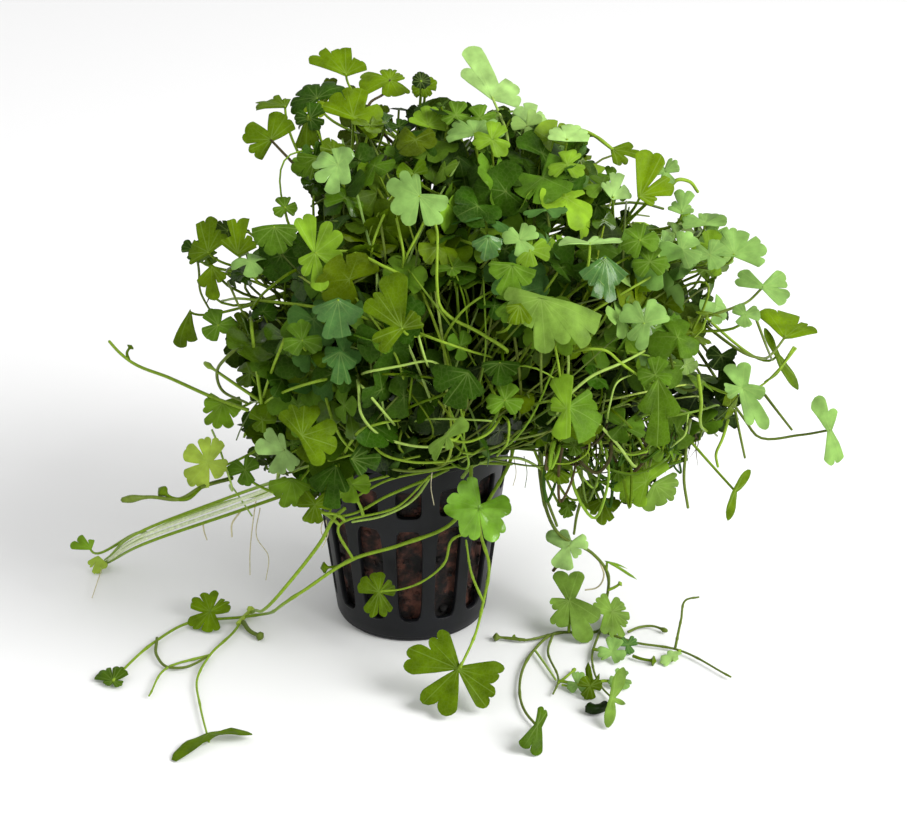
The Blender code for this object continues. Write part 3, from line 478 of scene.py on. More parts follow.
TWIGS = (
    Twig("outrider", ((248, 410, -8), (210, 396, INSIDE), (170, 378, INSIDE), (130, 361, INSIDE),
                      (119, 352, INSIDE), (109, 341, INSIDE)), 0.45, Tone.STALK),
    Twig("outrider_bud", ((129, 360, INSIDE), (127, 353, INSIDE), (131, 346, INSIDE)), 0.35,
         Tone.OLIVE, 1.0),
    Twig("bud_arm", ((265, 404, -8), (235, 384, -2), (205, 363, INSIDE)), 0.4, Tone.STALK, 0.8),
    Twig("dark_loop", ((240, 345, -5), (226, 358, -2), (217, 372, INSIDE), (222, 390, INSIDE),
                       (247, 403, -4)), 0.4, Tone.STALK_DARK),
    Twig("bud_stem", ((232, 478, -8), (200, 488, -2), (180, 499, INSIDE), (150, 497, INSIDE),
                      (122, 500, INSIDE)), 0.5, Tone.STALK_DARK, 1.0),
    Twig("curled_bud", ((200, 488, -2), (186, 499, INSIDE), (172, 498, INSIDE), (160, 489, INSIDE)),
         0.5, Tone.OLIVE, 1.5),
    Twig("ridge_runner", ((560, 140, -5), (575, 130, -1), (595, 136, -1), (603, 142, -1), (612, 149, -2)),
         0.45, Tone.STALK),
    Twig("shoulder_arc", ((668, 190, -6), (677, 180, -1), (690, 182, -1), (698, 192, -4)), 0.45, Tone.STALK),
    Twig("right_thin", ((794, 347, -1), (787, 358, -1), (778, 372, -3), (765, 382, -8)), 0.35, Tone.STALK),
    Twig("right_drop", ((765, 395, -4), (778, 412, -1), (792, 430, -1)), 0.35, Tone.STALK_DARK),
    Twig("fall_one", ((690, 420, -4), (686, 450, -1), (684, 480, -1), (688, 508, -1)), 0.42,
         Tone.STALK_DARK),
    Twig("fall_two", ((728, 420, -5), (722, 440, -1), (716, 455, -1), (718, 467, -1)), 0.4, Tone.STALK),
    Twig("fall_three", ((698, 375, -4), (701, 398, -1), (700, 420, -1), (707, 432, -2)), 0.4, Tone.STALK),
    Twig("fall_four", ((735, 410, -5), (739, 430, -1), (745, 458, -1)), 0.35, Tone.STALK_DARK),
    Twig("bundle_top", ((285, 478, -3), (222, 500, 5), (158, 524, 9), (105, 560, None)), 0.42,
         Tone.STALK),
    # The bundle's middle stems are whitish as a painted highlight along the bundle.
    Twig("bundle_highlight", ((284, 483, -2), (224, 505, 5), (160, 528, 8), (106, 561, None)), 0.5,
         Tone.STALK_HIGHLIGHT),
    Twig("bundle_highlight_low", ((283, 489, -1), (225, 510, 4), (162, 532, 8), (106, 562, None)), 0.48,
         Tone.STALK_HIGHLIGHT),
    Twig("bundle_low", ((282, 496, 0), (227, 515, 4), (165, 536, 8), (107, 563, None)), 0.42,
         Tone.STALK),
    Twig("upper_runner", ((345, 508, 31), (335, 517, 31), (322, 540, 31), (309, 558, 31), (283, 590, 33),
                          (252, 612, None)), 0.45, Tone.STALK),
    Twig("spill_one", ((455, 466, 22), (425, 480, 28), (385, 497, 30), (355, 513, 31), (338, 517, 31)),
         0.4, Tone.STALK),
    Twig("spill_two", ((432, 460, 24), (400, 472, 28), (365, 482, 30), (336, 492, 31), (318, 508, 30)),
         0.38, Tone.STALK),
    Twig("spill_three", ((432, 474, 27), (415, 498, 29), (385, 515, 30), (352, 522, 31)), 0.36,
         Tone.STALK_PALE),
    Twig("spill_four", ((512, 464, 18), (470, 464, 24), (430, 471, 27), (388, 480, 29), (350, 500, 30)),
         0.36, Tone.STALK),
    Twig("rim_bow", ((462, 478, 25), (470, 468, 25), (490, 460, 23), (516, 458, 19), (544, 470, 12)),
         0.42, Tone.STALK_PALE),
    Twig("bundle_root", ((240, 512, 3), (232, 524, 3), (232, 537, 3)), 0.25, Tone.ROOT),
    Twig("bundle_hair", ((203, 522, 5), (204, 531, 5), (207, 540, 5)), 0.2, Tone.ROOT),
    Twig("hang_hair_one", ((256, 500, 2), (252, 530, 2), (250, 552, 2), (250, 575, 2)), 0.16, Tone.ROOT),
    Twig("hang_hair_two", ((260, 508, 2), (257, 538, 2), (268, 555, 2), (266, 580, 2)), 0.14, Tone.ROOT),
    Twig("tip_hair", ((103, 566, None), (98, 580, None), (92, 598, None)), 0.14, Tone.ROOT),
    Twig("middle_bar", ((362, 374, -9), (372, 371, -2), (400, 366, -3), (426, 361, -4), (448, 371, -11)), 0.3,
         Tone.STALK_PALE),
    Twig("middle_fall", ((416, 326, -7), (421, 345, -2), (425, 358, -3), (429, 368, -10)), 0.28,
         Tone.STALK_PALE),
    Twig("middle_right", ((408, 329, -6), (443, 342, -2), (467, 350, -4), (492, 357, -12)), 0.3, Tone.STALK),
    Twig("sweep_one", ((357, 376, -10), (359, 391, -2), (361, 413, -2), (378, 434, -3), (414, 446, -4),
                       (440, 447, -6), (458, 443, -14)), 0.34, Tone.STALK_PALE),
    Twig("sweep_two", ((357, 382, -9), (366, 391, -2), (377, 404, -2), (388, 417, -4), (397, 428, -12)), 0.32,
         Tone.STALK_PALE),
    Twig("sweep_three", ((345, 452, -9), (351, 442, -3), (361, 430, -3), (382, 423, -4), (412, 420, -14)),
         0.36, Tone.STALK),
    Twig("sweep_four", ((362, 420, -9), (380, 452, -3), (412, 462, -3), (440, 462, -4), (470, 455, -14)), 0.32,
         Tone.STALK),
    Twig("sweep_five", ((345, 432, -9), (366, 456, -3), (398, 470, -2), (428, 470, -4), (455, 460, -14)), 0.34,
         Tone.STALK_DARK),
    Twig("sweep_six", ((326, 398, -8), (334, 424, -3), (350, 448, -3), (378, 462, -4), (420, 456, -14)), 0.32,
         Tone.STALK),
    Twig("loop_right", ((502, 414, -12), (509, 426, -4), (508, 440, -3), (497, 456, -4)), 0.32, Tone.STALK),
    Twig("loop_left", ((503, 414, -12), (484, 436, -3), (467, 442, -2), (449, 440, -3)), 0.32, Tone.STALK),
    Twig("loop_low", ((520, 430, -12), (498, 446, -4), (478, 452, -4), (462, 462, -6)), 0.3, Tone.STALK_DARK),
    Twig("left_bow", ((334, 378, -8), (322, 380, -2), (297, 387, -2), (270, 399, -5), (262, 406, -10)), 0.34,
         Tone.STALK),
    Twig("left_post", ((251, 318, -9), (252, 332, -3), (256, 365, -3), (261, 399, -5), (262, 410, -10)), 0.4,
         Tone.STALK),
    Twig("left_post_two", ((289, 326, -9), (284, 340, -3), (275, 362, -3), (266, 388, -5), (262, 402, -10)),
         0.36, Tone.STALK),
    Twig("left_slant", ((296, 270, -8), (285, 276, -2), (267, 290, -2), (252, 309, -8)), 0.34, Tone.OLIVE),
    Twig("left_rise", ((197, 258, -5), (199, 272, -2), (200, 290, INSIDE), (212, 314, -8)), 0.3,
         Tone.STALK_DARK),
    Twig("left_cross", ((228, 282, -7), (234, 295, -2), (238, 304, -2), (250, 322, -8)), 0.3, Tone.STALK_DARK),
    Twig("front_thin", ((212, 430, -5), (218, 444, INSIDE), (228, 474, INSIDE), (240, 498, 6), (252, 516, 6)),
         0.26, Tone.STALK_PALE),
    Twig("low_bar", ((292, 472, -8), (302, 468, -2), (328, 461, -2), (366, 451, -9)), 0.34, Tone.STALK),
    Twig("upper_one", ((387, 208, -7), (381, 222, -3), (374, 240, -3), (370, 272, -10)), 0.3, Tone.STALK),
    Twig("upper_two", ((380, 220, -8), (382, 232, -3), (384, 246, -4), (386, 274, -12)), 0.3, Tone.STALK_DARK),
    Twig("upper_three", ((395, 214, -7), (399, 230, -2), (403, 250, -3), (400, 280, -11)), 0.3, Tone.STALK),
    Twig("upper_four", ((425, 220, -7), (418, 234, -2), (410, 249, -3), (399, 274, -11)), 0.3, Tone.STALK),
    Twig("fold_stalk", ((554, 340, -8), (556, 352, -2), (558, 362, INSIDE), (560, 376, -2)), 0.3, Tone.STALK),
    Twig("fold_second", ((541, 340, -8), (541, 356, -3), (541, 370, -3), (542, 400, -12)), 0.3,
         Tone.STALK_DARK),
    Twig("long_bar", ((565, 398, -2), (592, 376, -2), (619, 364, -2), (650, 348, -9)), 0.34, Tone.STALK_PALE),
    Twig("right_join", ((574, 352, -8), (590, 349, -3), (604, 350, -2), (621, 363, -2), (642, 378, -10)), 0.32,
         Tone.STALK),
    Twig("olive_bow", ((606, 406, -9), (618, 415, -3), (633, 430, -3), (646, 453, -3)), 0.32, Tone.OLIVE),
    Twig("thin_hook", ((607, 422, -9), (610, 404, -3), (614, 388, -3), (634, 373, -10)), 0.24, Tone.STALK_PALE),
    Twig("pale_bow", ((668, 448, -8), (677, 442, -2), (684, 436, -2), (688, 414, -10)), 0.28, Tone.STALK_PALE),
    Twig("right_cross", ((796, 348, INSIDE), (780, 368, INSIDE), (762, 385, -4), (748, 392, -9)), 0.3,
         Tone.STALK),
    Twig("right_fall", ((752, 308, -4), (758, 324, -2), (764, 340, INSIDE), (772, 360, INSIDE)), 0.32,
         Tone.STALK_DARK),
    Twig("loose_runner", ((541, 448, 12), (544, 488, 12), (557, 526, 10)), 0.45, Tone.STALK_DARK),
    Twig("loose_second", ((581, 500, 10), (577, 515, 10), (574, 534, 8)), 0.4, Tone.STALK_DARK),
    Twig("pot_hair_one", ((323, 520, 30), (321, 530, 30), (326, 542, 30)), 0.14, Tone.ROOT),
    Twig("pot_hair_two", ((326, 520, 30), (328, 534, 30), (322, 548, 30)), 0.12, Tone.ROOT),
    Twig("mouth_hair", ((432, 472, 30), (431, 486, 31), (434, 505, 31)), 0.12, Tone.ROOT),
    Twig("rim_hair_one", ((514, 458, 18), (516, 474, 18), (513, 486, 18)), 0.1, Tone.ROOT),
    Twig("rim_hair_two", ((524, 456, 16), (527, 472, 16), (525, 488, 16)), 0.1, Tone.OLIVE_DARK),
    Twig("node_stub", ((335, 522, 30), (330, 512, 30), (335, 503, 29)), 0.3, Tone.STALK),
    Twig("node_bud", ((353, 559, 30), (338, 566, 30), (322, 568, 30)), 0.35, Tone.OLIVE, 1.5),
    Twig("club_bud", ((243, 622, None), (250, 631, None), (262, 637, None)), 0.6, Tone.STALK_DARK, 1.3),
    Twig("swollen_node", ((238, 624, None), (246, 615, None), (252, 609, None)), 0.6, Tone.YELLOW, 1.3),
    Twig("floor_curl", ((157, 638, None), (157, 656, None), (168, 667, None), (186, 667, None),
                        (198, 662, None), (209, 655, None)), 0.38, Tone.STALK_DARK),
    Twig("trail_stub", ((562, 560, 8), (557, 566, 8), (553, 571, 8)), 0.5, Tone.BROWN),
    Twig("trail_loop", ((600, 562, 6), (604, 575, 6), (596, 588, 5), (585, 590, 5)), 0.25, Tone.ROOT),
    Twig("side_bud", ((608, 590, 4), (615, 587, 4), (621, 583, 4)), 0.4, Tone.STALK, 0.8),
    Twig("club_left", ((525, 640, None), (508, 638, None), (494, 637, None)), 0.4, Tone.STALK_DARK, 1.2),
    Twig("club_second", ((520, 640, None), (513, 637, None)), 0.4, Tone.OLIVE, 0.9),
    Twig("trail_thin", ((535, 650, None), (545, 664, None), (556, 680, None)), 0.3, Tone.STALK_PALE),
    Twig("trail_fork", ((558, 683, None), (566, 677, None), (575, 669, None)), 0.35, Tone.STALK, 0.6),
    Twig("trail_tip", ((562, 685, None), (569, 686, None), (576, 686, None)), 0.3, Tone.STALK, 0.6),
    Twig("dark_node", ((588, 709, None), (594, 711, None), (600, 710, None), (606, 706, None)), 1.3,
         Tone.SHADE),
    Twig("blob_olive", ((633, 656, None), (642, 659, None), (655, 661, None)), 0.4, Tone.OLIVE, 1.4),
    Twig("arc_grey", ((628, 632, None), (640, 627, None), (652, 626, None), (667, 631, None)), 0.35,
         Tone.STALK_DARK, 0.7),
)


@dataclass(frozen=True)
class Runner:
    """A runner: the bearing where it crosses the rim, its stops, and its branches' stops.

    A stop is a place in the picture and how far before the pot's axis it lies, or None where it
    lies on the surface.
    """

    name: str
    bearing: float
    trunk: tuple
    branches: tuple = ()
    tone: Tone = Tone.STALK


RUNNERS = (
    Runner("runner_left", -62, (
        (455, 520, 27), (400, 545, 29), (353, 559, 30), (300, 593, 33), (243, 617, None),
        (188, 623, None), (156, 641, None), (125, 668, None), (113, 681, None),
    ), (
        ((243, 617, None), (236, 629, None), (210, 655, None), (197, 680, None), (200, 705, None),
         (209, 742, None)),
        ((210, 655, None), (167, 668, None), (149, 696, None)),
        ((353, 559, 30), (338, 528, 31), (400, 505, 31), (430, 475, 30)),
    )),
    Runner("runner_bundle", 176, ((270, 490, -5), (230, 501, -8), (150, 532, -14), (103, 564, None)),
           (), Tone.STALK_PALE),
    Runner("runner_front", -38, (
        (480, 530, 26), (489, 565, 28), (483, 603, 29), (475, 635, 37), (460, 668, 44),
    ), (
        ((481, 530, 26), (452, 540, 26), (445, 562, 26), (425, 580, 26), (397, 590, 25),
         (382, 591, 25)),
        ((484, 603, 29), (472, 575, 27), (466, 540, 26)),
    )),
    Runner("runner_right", -8, (
        (540, 475, 11), (545, 505, 10), (560, 535, 8), (592, 553, 7), (608, 575, 5), (606, 603, 4),
        (600, 630, None), (553, 634, None), (535, 649, None), (520, 681, None), (526, 713, None),
        (538, 727, None),
    ), (
        ((600, 630, None), (633, 642, None), (675, 649, None), (731, 677, None)),
        ((675, 649, None), (681, 620, 20), (686, 600, 19), (699, 597, 19)),
        ((553, 634, None), (548, 650, None), (558, 683, None), (553, 694, None)),
        ((553, 634, None), (525, 640, None), (496, 637, None)),
        ((600, 630, None), (592, 660, None), (604, 690, None), (611, 697, None)),
    ), Tone.STALK_DARK),
)

MOUND_OUTLINE = (
    (296, 96), (328, 76), (345, 75), (364, 92), (385, 104), (397, 99), (425, 97), (455, 95), (478, 102),
    (500, 98), (530, 110), (560, 122), (592, 140), (618, 164), (632, 196), (655, 210), (690, 206),
    (728, 224), (744, 250), (728, 270), (730, 290), (746, 303), (744, 330), (748, 362), (746, 400),
    (738, 434), (712, 444), (690, 450), (676, 466), (652, 496), (628, 514), (604, 514), (590, 494),
    (574, 502), (556, 498), (546, 472), (537, 447), (520, 454), (480, 464), (430, 470), (380, 480), (345, 498), (306, 502), (272, 476),
    (240, 462), (230, 440), (236, 425), (218, 410), (234, 398), (224, 384), (222, 362), (224, 340),
    (212, 330), (202, 310), (200, 288), (194, 262), (204, 224), (228, 216), (252, 222), (290, 232),
    (310, 226), (318, 212), (304, 194), (295, 178), (297, 158), (292, 128),
)

GAPS = (
    (328, 127, 11), (388, 139, 5), (255, 234, 4), (221, 247, 4), (220, 270, 5), (234, 301, 9), (279, 299, 7),
    (258, 288, 5), (208, 318, 7), (240, 393, 6), (237, 462, 5), (615, 208, 4), (647, 219, 6), (663, 222, 4),
    (561, 229, 4), (693, 283, 4), (722, 331, 8), (700, 357, 5), (577, 462, 6), (588, 476, 5), (573, 486, 9),
    (608, 476, 6), (601, 455, 5), (555, 501, 5), (569, 517, 8), (476, 130, 4), (430, 186, 4),
)


@dataclass(frozen=True)
class Zone:
    """The greens that a region of the mound has, the place of its middle, and how leafy it is. Part of the greens is
    painted light: paler where the light falls at the upper right, dark in the shaded hollow low in the middle.
    """

    at: tuple
    tones: tuple
    fill: float


ZONES = (
    Zone((330, 110), (Tone.OLIVE, Tone.DARK, Tone.OLIVE_BRIGHT), 0.6),
    Zone((430, 130), (Tone.DARK, Tone.MID, Tone.OLIVE), 0.85),
    Zone((510, 130), (Tone.PALE, Tone.BRIGHT, Tone.MID, Tone.DARK), 0.8),
    Zone((620, 190), (Tone.MID, Tone.PALE, Tone.OLIVE_BRIGHT, Tone.DARK), 0.75),
    Zone((720, 250), (Tone.PALE, Tone.VERY_PALE, Tone.BRIGHT), 0.8),
    Zone((770, 350), (Tone.MID, Tone.PALE, Tone.OLIVE), 0.25),
    Zone((240, 270), (Tone.OLIVE, Tone.DARK, Tone.OLIVE_DARK), 0.85),
    Zone((245, 350), (Tone.OLIVE, Tone.DARK, Tone.OLIVE_DARK), 0.8),
    Zone((240, 410), (Tone.OLIVE, Tone.OLIVE_DARK, Tone.MID), 0.65),
    Zone((330, 320), (Tone.DARK, Tone.BLUISH_SHEEN, Tone.OLIVE, Tone.MID), 0.6),
    Zone((430, 310), (Tone.DARK, Tone.OLIVE, Tone.MID), 0.35),
    Zone((530, 220), (Tone.MID, Tone.BRIGHT, Tone.BLUISH_SHEEN, Tone.DARK), 0.85),
    Zone((570, 370), (Tone.MID, Tone.OLIVE, Tone.DARK), 0.35),
    # The hollow low in the middle gets only dark greens, as painted shade.
    Zone((450, 410), (Tone.DARK, Tone.SHADE), 0.3),
    Zone((650, 330), (Tone.MID, Tone.OLIVE, Tone.PALE, Tone.OLIVE_BRIGHT), 0.65),
    Zone((640, 430), (Tone.OLIVE, Tone.MID, Tone.OLIVE_BRIGHT), 0.4),
    Zone((590, 480), (Tone.OLIVE, Tone.OLIVE_BRIGHT, Tone.MID), 0.45),
    Zone((322, 185), (Tone.OLIVE_DARK, Tone.DARK, Tone.OLIVE), 0.85),
)


def inside(places: np.ndarray, outline: tuple) -> np.ndarray:
    """Whether places lie inside an outline.

    Args:
        places: shape (n, 2).
        outline: the outline's corners.

    Returns:
        One truth value a place: whether a line to the right of it crosses the outline's edges an
        odd number of times.
    """
    corners = np.array(outline, float)
    following = np.roll(corners, -1, axis=0)
    x, y = places[:, :1], places[:, 1:]
    crosses = (corners[:, 1] > y) != (following[:, 1] > y)
    slope = (following[:, 0] - corners[:, 0]) / (following[:, 1] - corners[:, 1] + 1e-9)
    right = x < corners[:, 0] + slope * (y - corners[:, 1])
    return (crosses & right).sum(axis=1) % 2 == 1


def room(places: np.ndarray) -> np.ndarray:
    """How far places are from the mound's outline and from the gaps in it.

    Args:
        places: shape (n, 2).

    Returns:
        The least distance, in pixels: to an edge of the outline, at the point that the place drops
        on to, and to a gap's middle, less its radius. It is 0 outside the outline.
    """
    corners = np.array(MOUND_OUTLINE, float)
    edges = np.roll(corners, -1, axis=0) - corners
    arms = places[:, None] - corners
    share = np.clip((arms * edges).sum(-1) / (edges * edges).sum(-1), 0.0, 1.0)
    to_edge = np.linalg.norm(arms - share[..., None] * edges, axis=-1).min(axis=1)
    gaps = np.array(GAPS, float)
    to_gap = (np.linalg.norm(places[:, None] - gaps[:, :2], axis=-1) - gaps[:, 2]).min(axis=1)
    return np.where(inside(places, MOUND_OUTLINE), np.minimum(to_edge, to_gap), 0.0)


def unit(vectors: np.ndarray) -> np.ndarray:
    """Vectors over their own lengths."""
    return vectors / np.maximum(np.linalg.norm(vectors, axis=-1, keepdims=True), 1e-12)


def bezier(corners: list[np.ndarray], count: int) -> np.ndarray:
    """Points along cubic curves.

    Args:
        corners: the four corners of the curves, each of shape (..., 3).
        count: how many points each curve gets.

    Returns:
        Shape (..., count, 3): the corners weighted by the cubic Bernstein polynomials.
    """
    share = np.linspace(0.0, 1.0, count)
    rest = 1.0 - share
    weights = (rest ** 3, 3.0 * rest * rest * share, 3.0 * rest * share * share, share ** 3)
    return sum(corner[..., None, :] * weight[:, None] for corner, weight in zip(corners, weights))


def smooth_path(stops: np.ndarray, count: int) -> np.ndarray:
    """A smooth curve through stops, as evenly spread points.

    Args:
        stops: the stops, shape (n, 3).
        count: how many points the curve gets.

    Returns:
        Shape (count, 3): a Catmull-Rom curve, whose tangent at a stop runs along the line between
        its neighbours, read at shares of the length of the straight legs.
    """
    stops = np.asarray(stops, float)
    legs = np.linalg.norm(np.diff(stops, axis=0), axis=1)
    along = np.concatenate([[0.0], np.cumsum(legs)])
    tangents = np.gradient(stops, along, axis=0)
    reads = np.linspace(0.0, along[-1], count)
    leg = np.clip(np.searchsorted(along, reads, side="right") - 1, 0, len(legs) - 1)
    t = ((reads - along[leg]) / legs[leg])[:, None]
    span = legs[leg][:, None]
    start, end = stops[leg], stops[leg + 1]
    first, last = tangents[leg] * span, tangents[leg + 1] * span
    return ((2 * t ** 3 - 3 * t ** 2 + 1) * start + (t ** 3 - 2 * t ** 2 + t) * first
            + (3 * t ** 2 - 2 * t ** 3) * end + (t ** 3 - t ** 2) * last)


def lattice_noise(points: np.ndarray, spacing: float, seed: int) -> np.ndarray:
    """Smooth noise from -1 to 1 at points.

    Args:
        points: places, shape (..., 3).
        spacing: the distance between the noise's own values, in the points' unit.
        seed: picks one noise.

    Returns:
        One number a point: hashed values at the corners of the cube round it, blended by the
        smooth step of the place inside the cube.
    """
    scaled = np.asarray(points) / spacing
    corner = np.floor(scaled).astype(np.int64)
    inside = scaled - corner
    blend = inside * inside * (3.0 - 2.0 * inside)
    total = np.zeros(scaled.shape[:-1])
    for offset in np.ndindex(2, 2, 2):
        cell = corner + np.array(offset)
        mixed = cell[..., 0] * 73856093 ^ cell[..., 1] * 19349663 ^ cell[..., 2] * 83492791 ^ seed * 2654435
        mixed = (mixed ^ (mixed >> 13)) * 1274126177 & 0xFFFFFF
        weight = np.where(np.array(offset) == 1, blend, 1.0 - blend).prod(axis=-1)
        total += weight * (mixed / 0x7FFFFF - 1.0)
    return total


class MeshSheaf:
    """Meshes gathered as arrays until they become one piece.

    Points are in mm. Each patch brings its faces, a tone for each point, how far in mm each point
    is from a rib of the leaf, whether it is on the upper side, and its material.
    """

    def __init__(self) -> None:
        """Start empty."""
        self.points: list[np.ndarray] = []
        self.faces: list[np.ndarray] = []
        self.slots: list[np.ndarray] = []
        self.values: dict[str, list[np.ndarray]] = {"tone": [], "rib": [], "side": []}
        self.count = 0

    def add(self, points: np.ndarray, faces: list[np.ndarray], tone: np.ndarray, slot: int = 0,
            rib: np.ndarray | float = 9.0, side: np.ndarray | float = 1.0) -> None:
        """Add a patch.

        Args:
            points: its points, shape (n, 3).
            faces: arrays of corner numbers, one array for each number of corners.
            tone: linear colour, for the patch or for each point.
            slot: the number of its material on the piece.
            rib: distance to the nearest rib, in mm.
            side: 1 on the upper side of a blade, 0 on the underside.
        """
        size = len(points)
        self.points.append(points)
        for group in faces:
            self.faces.append(group + self.count)
            self.slots.append(np.full(len(group), slot, np.int32))
        self.values["tone"].append(np.broadcast_to(tone, (size, 3)))
        self.values["rib"].append(np.broadcast_to(rib, size))
        self.values["side"].append(np.broadcast_to(side, size))
        self.count += size

    def build(self, name: str, materials: list[bpy.types.Material], sharp: float = 60.0) -> bpy.types.Object:
        """Make the piece.

        Args:
            name: the piece's name.
            materials: its materials, in the order of the slots.
            sharp: the angle in degrees past which an edge isn't shaded smooth.

        Returns:
            The linked object, at the origin.
        """
        points = np.concatenate(self.points) * MM
        corners = np.concatenate([group.ravel() for group in self.faces])
        sizes = np.concatenate([np.full(len(group), group.shape[1]) for group in self.faces])
        mesh = bpy.data.meshes.new(name)
        mesh.vertices.add(len(points))
        mesh.vertices.foreach_set("co", points.astype(np.float32).ravel())
        mesh.loops.add(len(corners))
        mesh.loops.foreach_set("vertex_index", corners.astype(np.int32))
        mesh.polygons.add(len(sizes))
        mesh.polygons.foreach_set("loop_start", np.concatenate([[0], np.cumsum(sizes)[:-1]]).astype(np.int32))
        mesh.polygons.foreach_set("material_index", np.concatenate(self.slots))
        mesh.update(calc_edges=True)
        for key, parts in self.values.items():
            data = np.concatenate(parts).astype(np.float32)
            if key == "tone":
                layer = mesh.attributes.new(key, "FLOAT_COLOR", "POINT")
                layer.data.foreach_set("color", np.hstack([data, np.ones((len(data), 1), np.float32)]).ravel())
            else:
                mesh.attributes.new(key, "FLOAT", "POINT").data.foreach_set("value", data)
        mesh.shade_smooth()
        mesh.set_sharp_from_angle(angle=math.radians(sharp))
        for material in materials:
            mesh.materials.append(material)
        piece = bpy.data.objects.new(name, mesh)
        bpy.context.scene.collection.objects.link(piece)
        return piece


def grid_faces(rows: int, columns: int, closed: bool) -> np.ndarray:
    """Four-cornered faces of a grid of points, numbered row by row.

    Args:
        rows: how many rows of points.
        columns: how many points in a row.
        closed: whether the last column joins the first.

    Returns:
        Corner numbers, shape (faces, 4), turning so that a grid whose columns run left to right
        and whose rows run upwards faces the reader.
    """
    row = np.arange(rows - 1)[:, None]
    column = np.arange(columns if closed else columns - 1)[None, :]
    following = (column + 1) % columns
    corners = (row * columns + column, row * columns + following,
               (row + 1) * columns + following, (row + 1) * columns + column)
    return np.stack(corners, axis=-1).reshape(-1, 4)


def tubes(paths: np.ndarray, radii: np.ndarray, sides: int) -> tuple[np.ndarray, list[np.ndarray]]:
    """Round tubes along paths, closed at both ends by a pole.

    Args:
        paths: points of the paths, shape (n, steps, 3).
        radii: the radius at each point, shape (n, steps).
        sides: how many points go round a tube.

    Returns:
        Points and faces. A point is its path's point plus the radius times the cosine and sine of
        its turn along two directions across the path. The first of these is the path's tangent
        crossed with the direction in which the whole path spreads least.
    """
    count, steps, _ = paths.shape
    tangents = unit(np.gradient(paths, axis=1))
    spread = np.linalg.svd(paths - paths.mean(axis=1, keepdims=True), full_matrices=True)[2][:, -1, :]
    first = unit(np.cross(tangents, spread[:, None, :]))
    second = np.cross(tangents, first)
    turns = 2.0 * np.pi * np.arange(sides) / sides
    ring = (first[:, :, None, :] * np.cos(turns)[:, None] + second[:, :, None, :] * np.sin(turns)[:, None])
    body = paths[:, :, None, :] + ring * radii[:, :, None, None]
    poles = np.stack([paths[:, 0] - tangents[:, 0] * radii[:, :1] * 0.6,
                      paths[:, -1] + tangents[:, -1] * radii[:, -1:] * 0.6], axis=1)
    points = np.concatenate([body.reshape(count, steps * sides, 3), poles], axis=1)
    size = steps * sides + 2
    column = np.arange(sides)
    following = (column + 1) % sides
    start = np.stack([following, column, np.full(sides, size - 2)], axis=1)
    last = (steps - 1) * sides
    end = np.stack([last + column, last + following, np.full(sides, size - 1)], axis=1)
    base = (np.arange(count) * size)[:, None, None]
    quads = (grid_faces(steps, sides, True)[None] + base).reshape(-1, 4)
    ends = (np.concatenate([start, end])[None] + base).reshape(-1, 3)
    return points.reshape(-1, 3), [quads, ends]


@dataclass
class Blade:
    """A placed leaf blade: its frame, and each lobe's turn, length and notch after it.

    The notch is the share of the lobe's length at which it ends.
    """

    origin: np.ndarray
    across: np.ndarray
    along: np.ndarray
    normal: np.ndarray
    lobes: list[tuple[float, float, float]]
    tone: np.ndarray
    via: np.ndarray = field(default_factory=lambda: np.zeros((0, 3)))
    wet: float = 0.0
    cup: float = 0.0
    rests: bool = False
    cut: float = 0.28
    half: float = math.radians(32)
    seed: int = 0


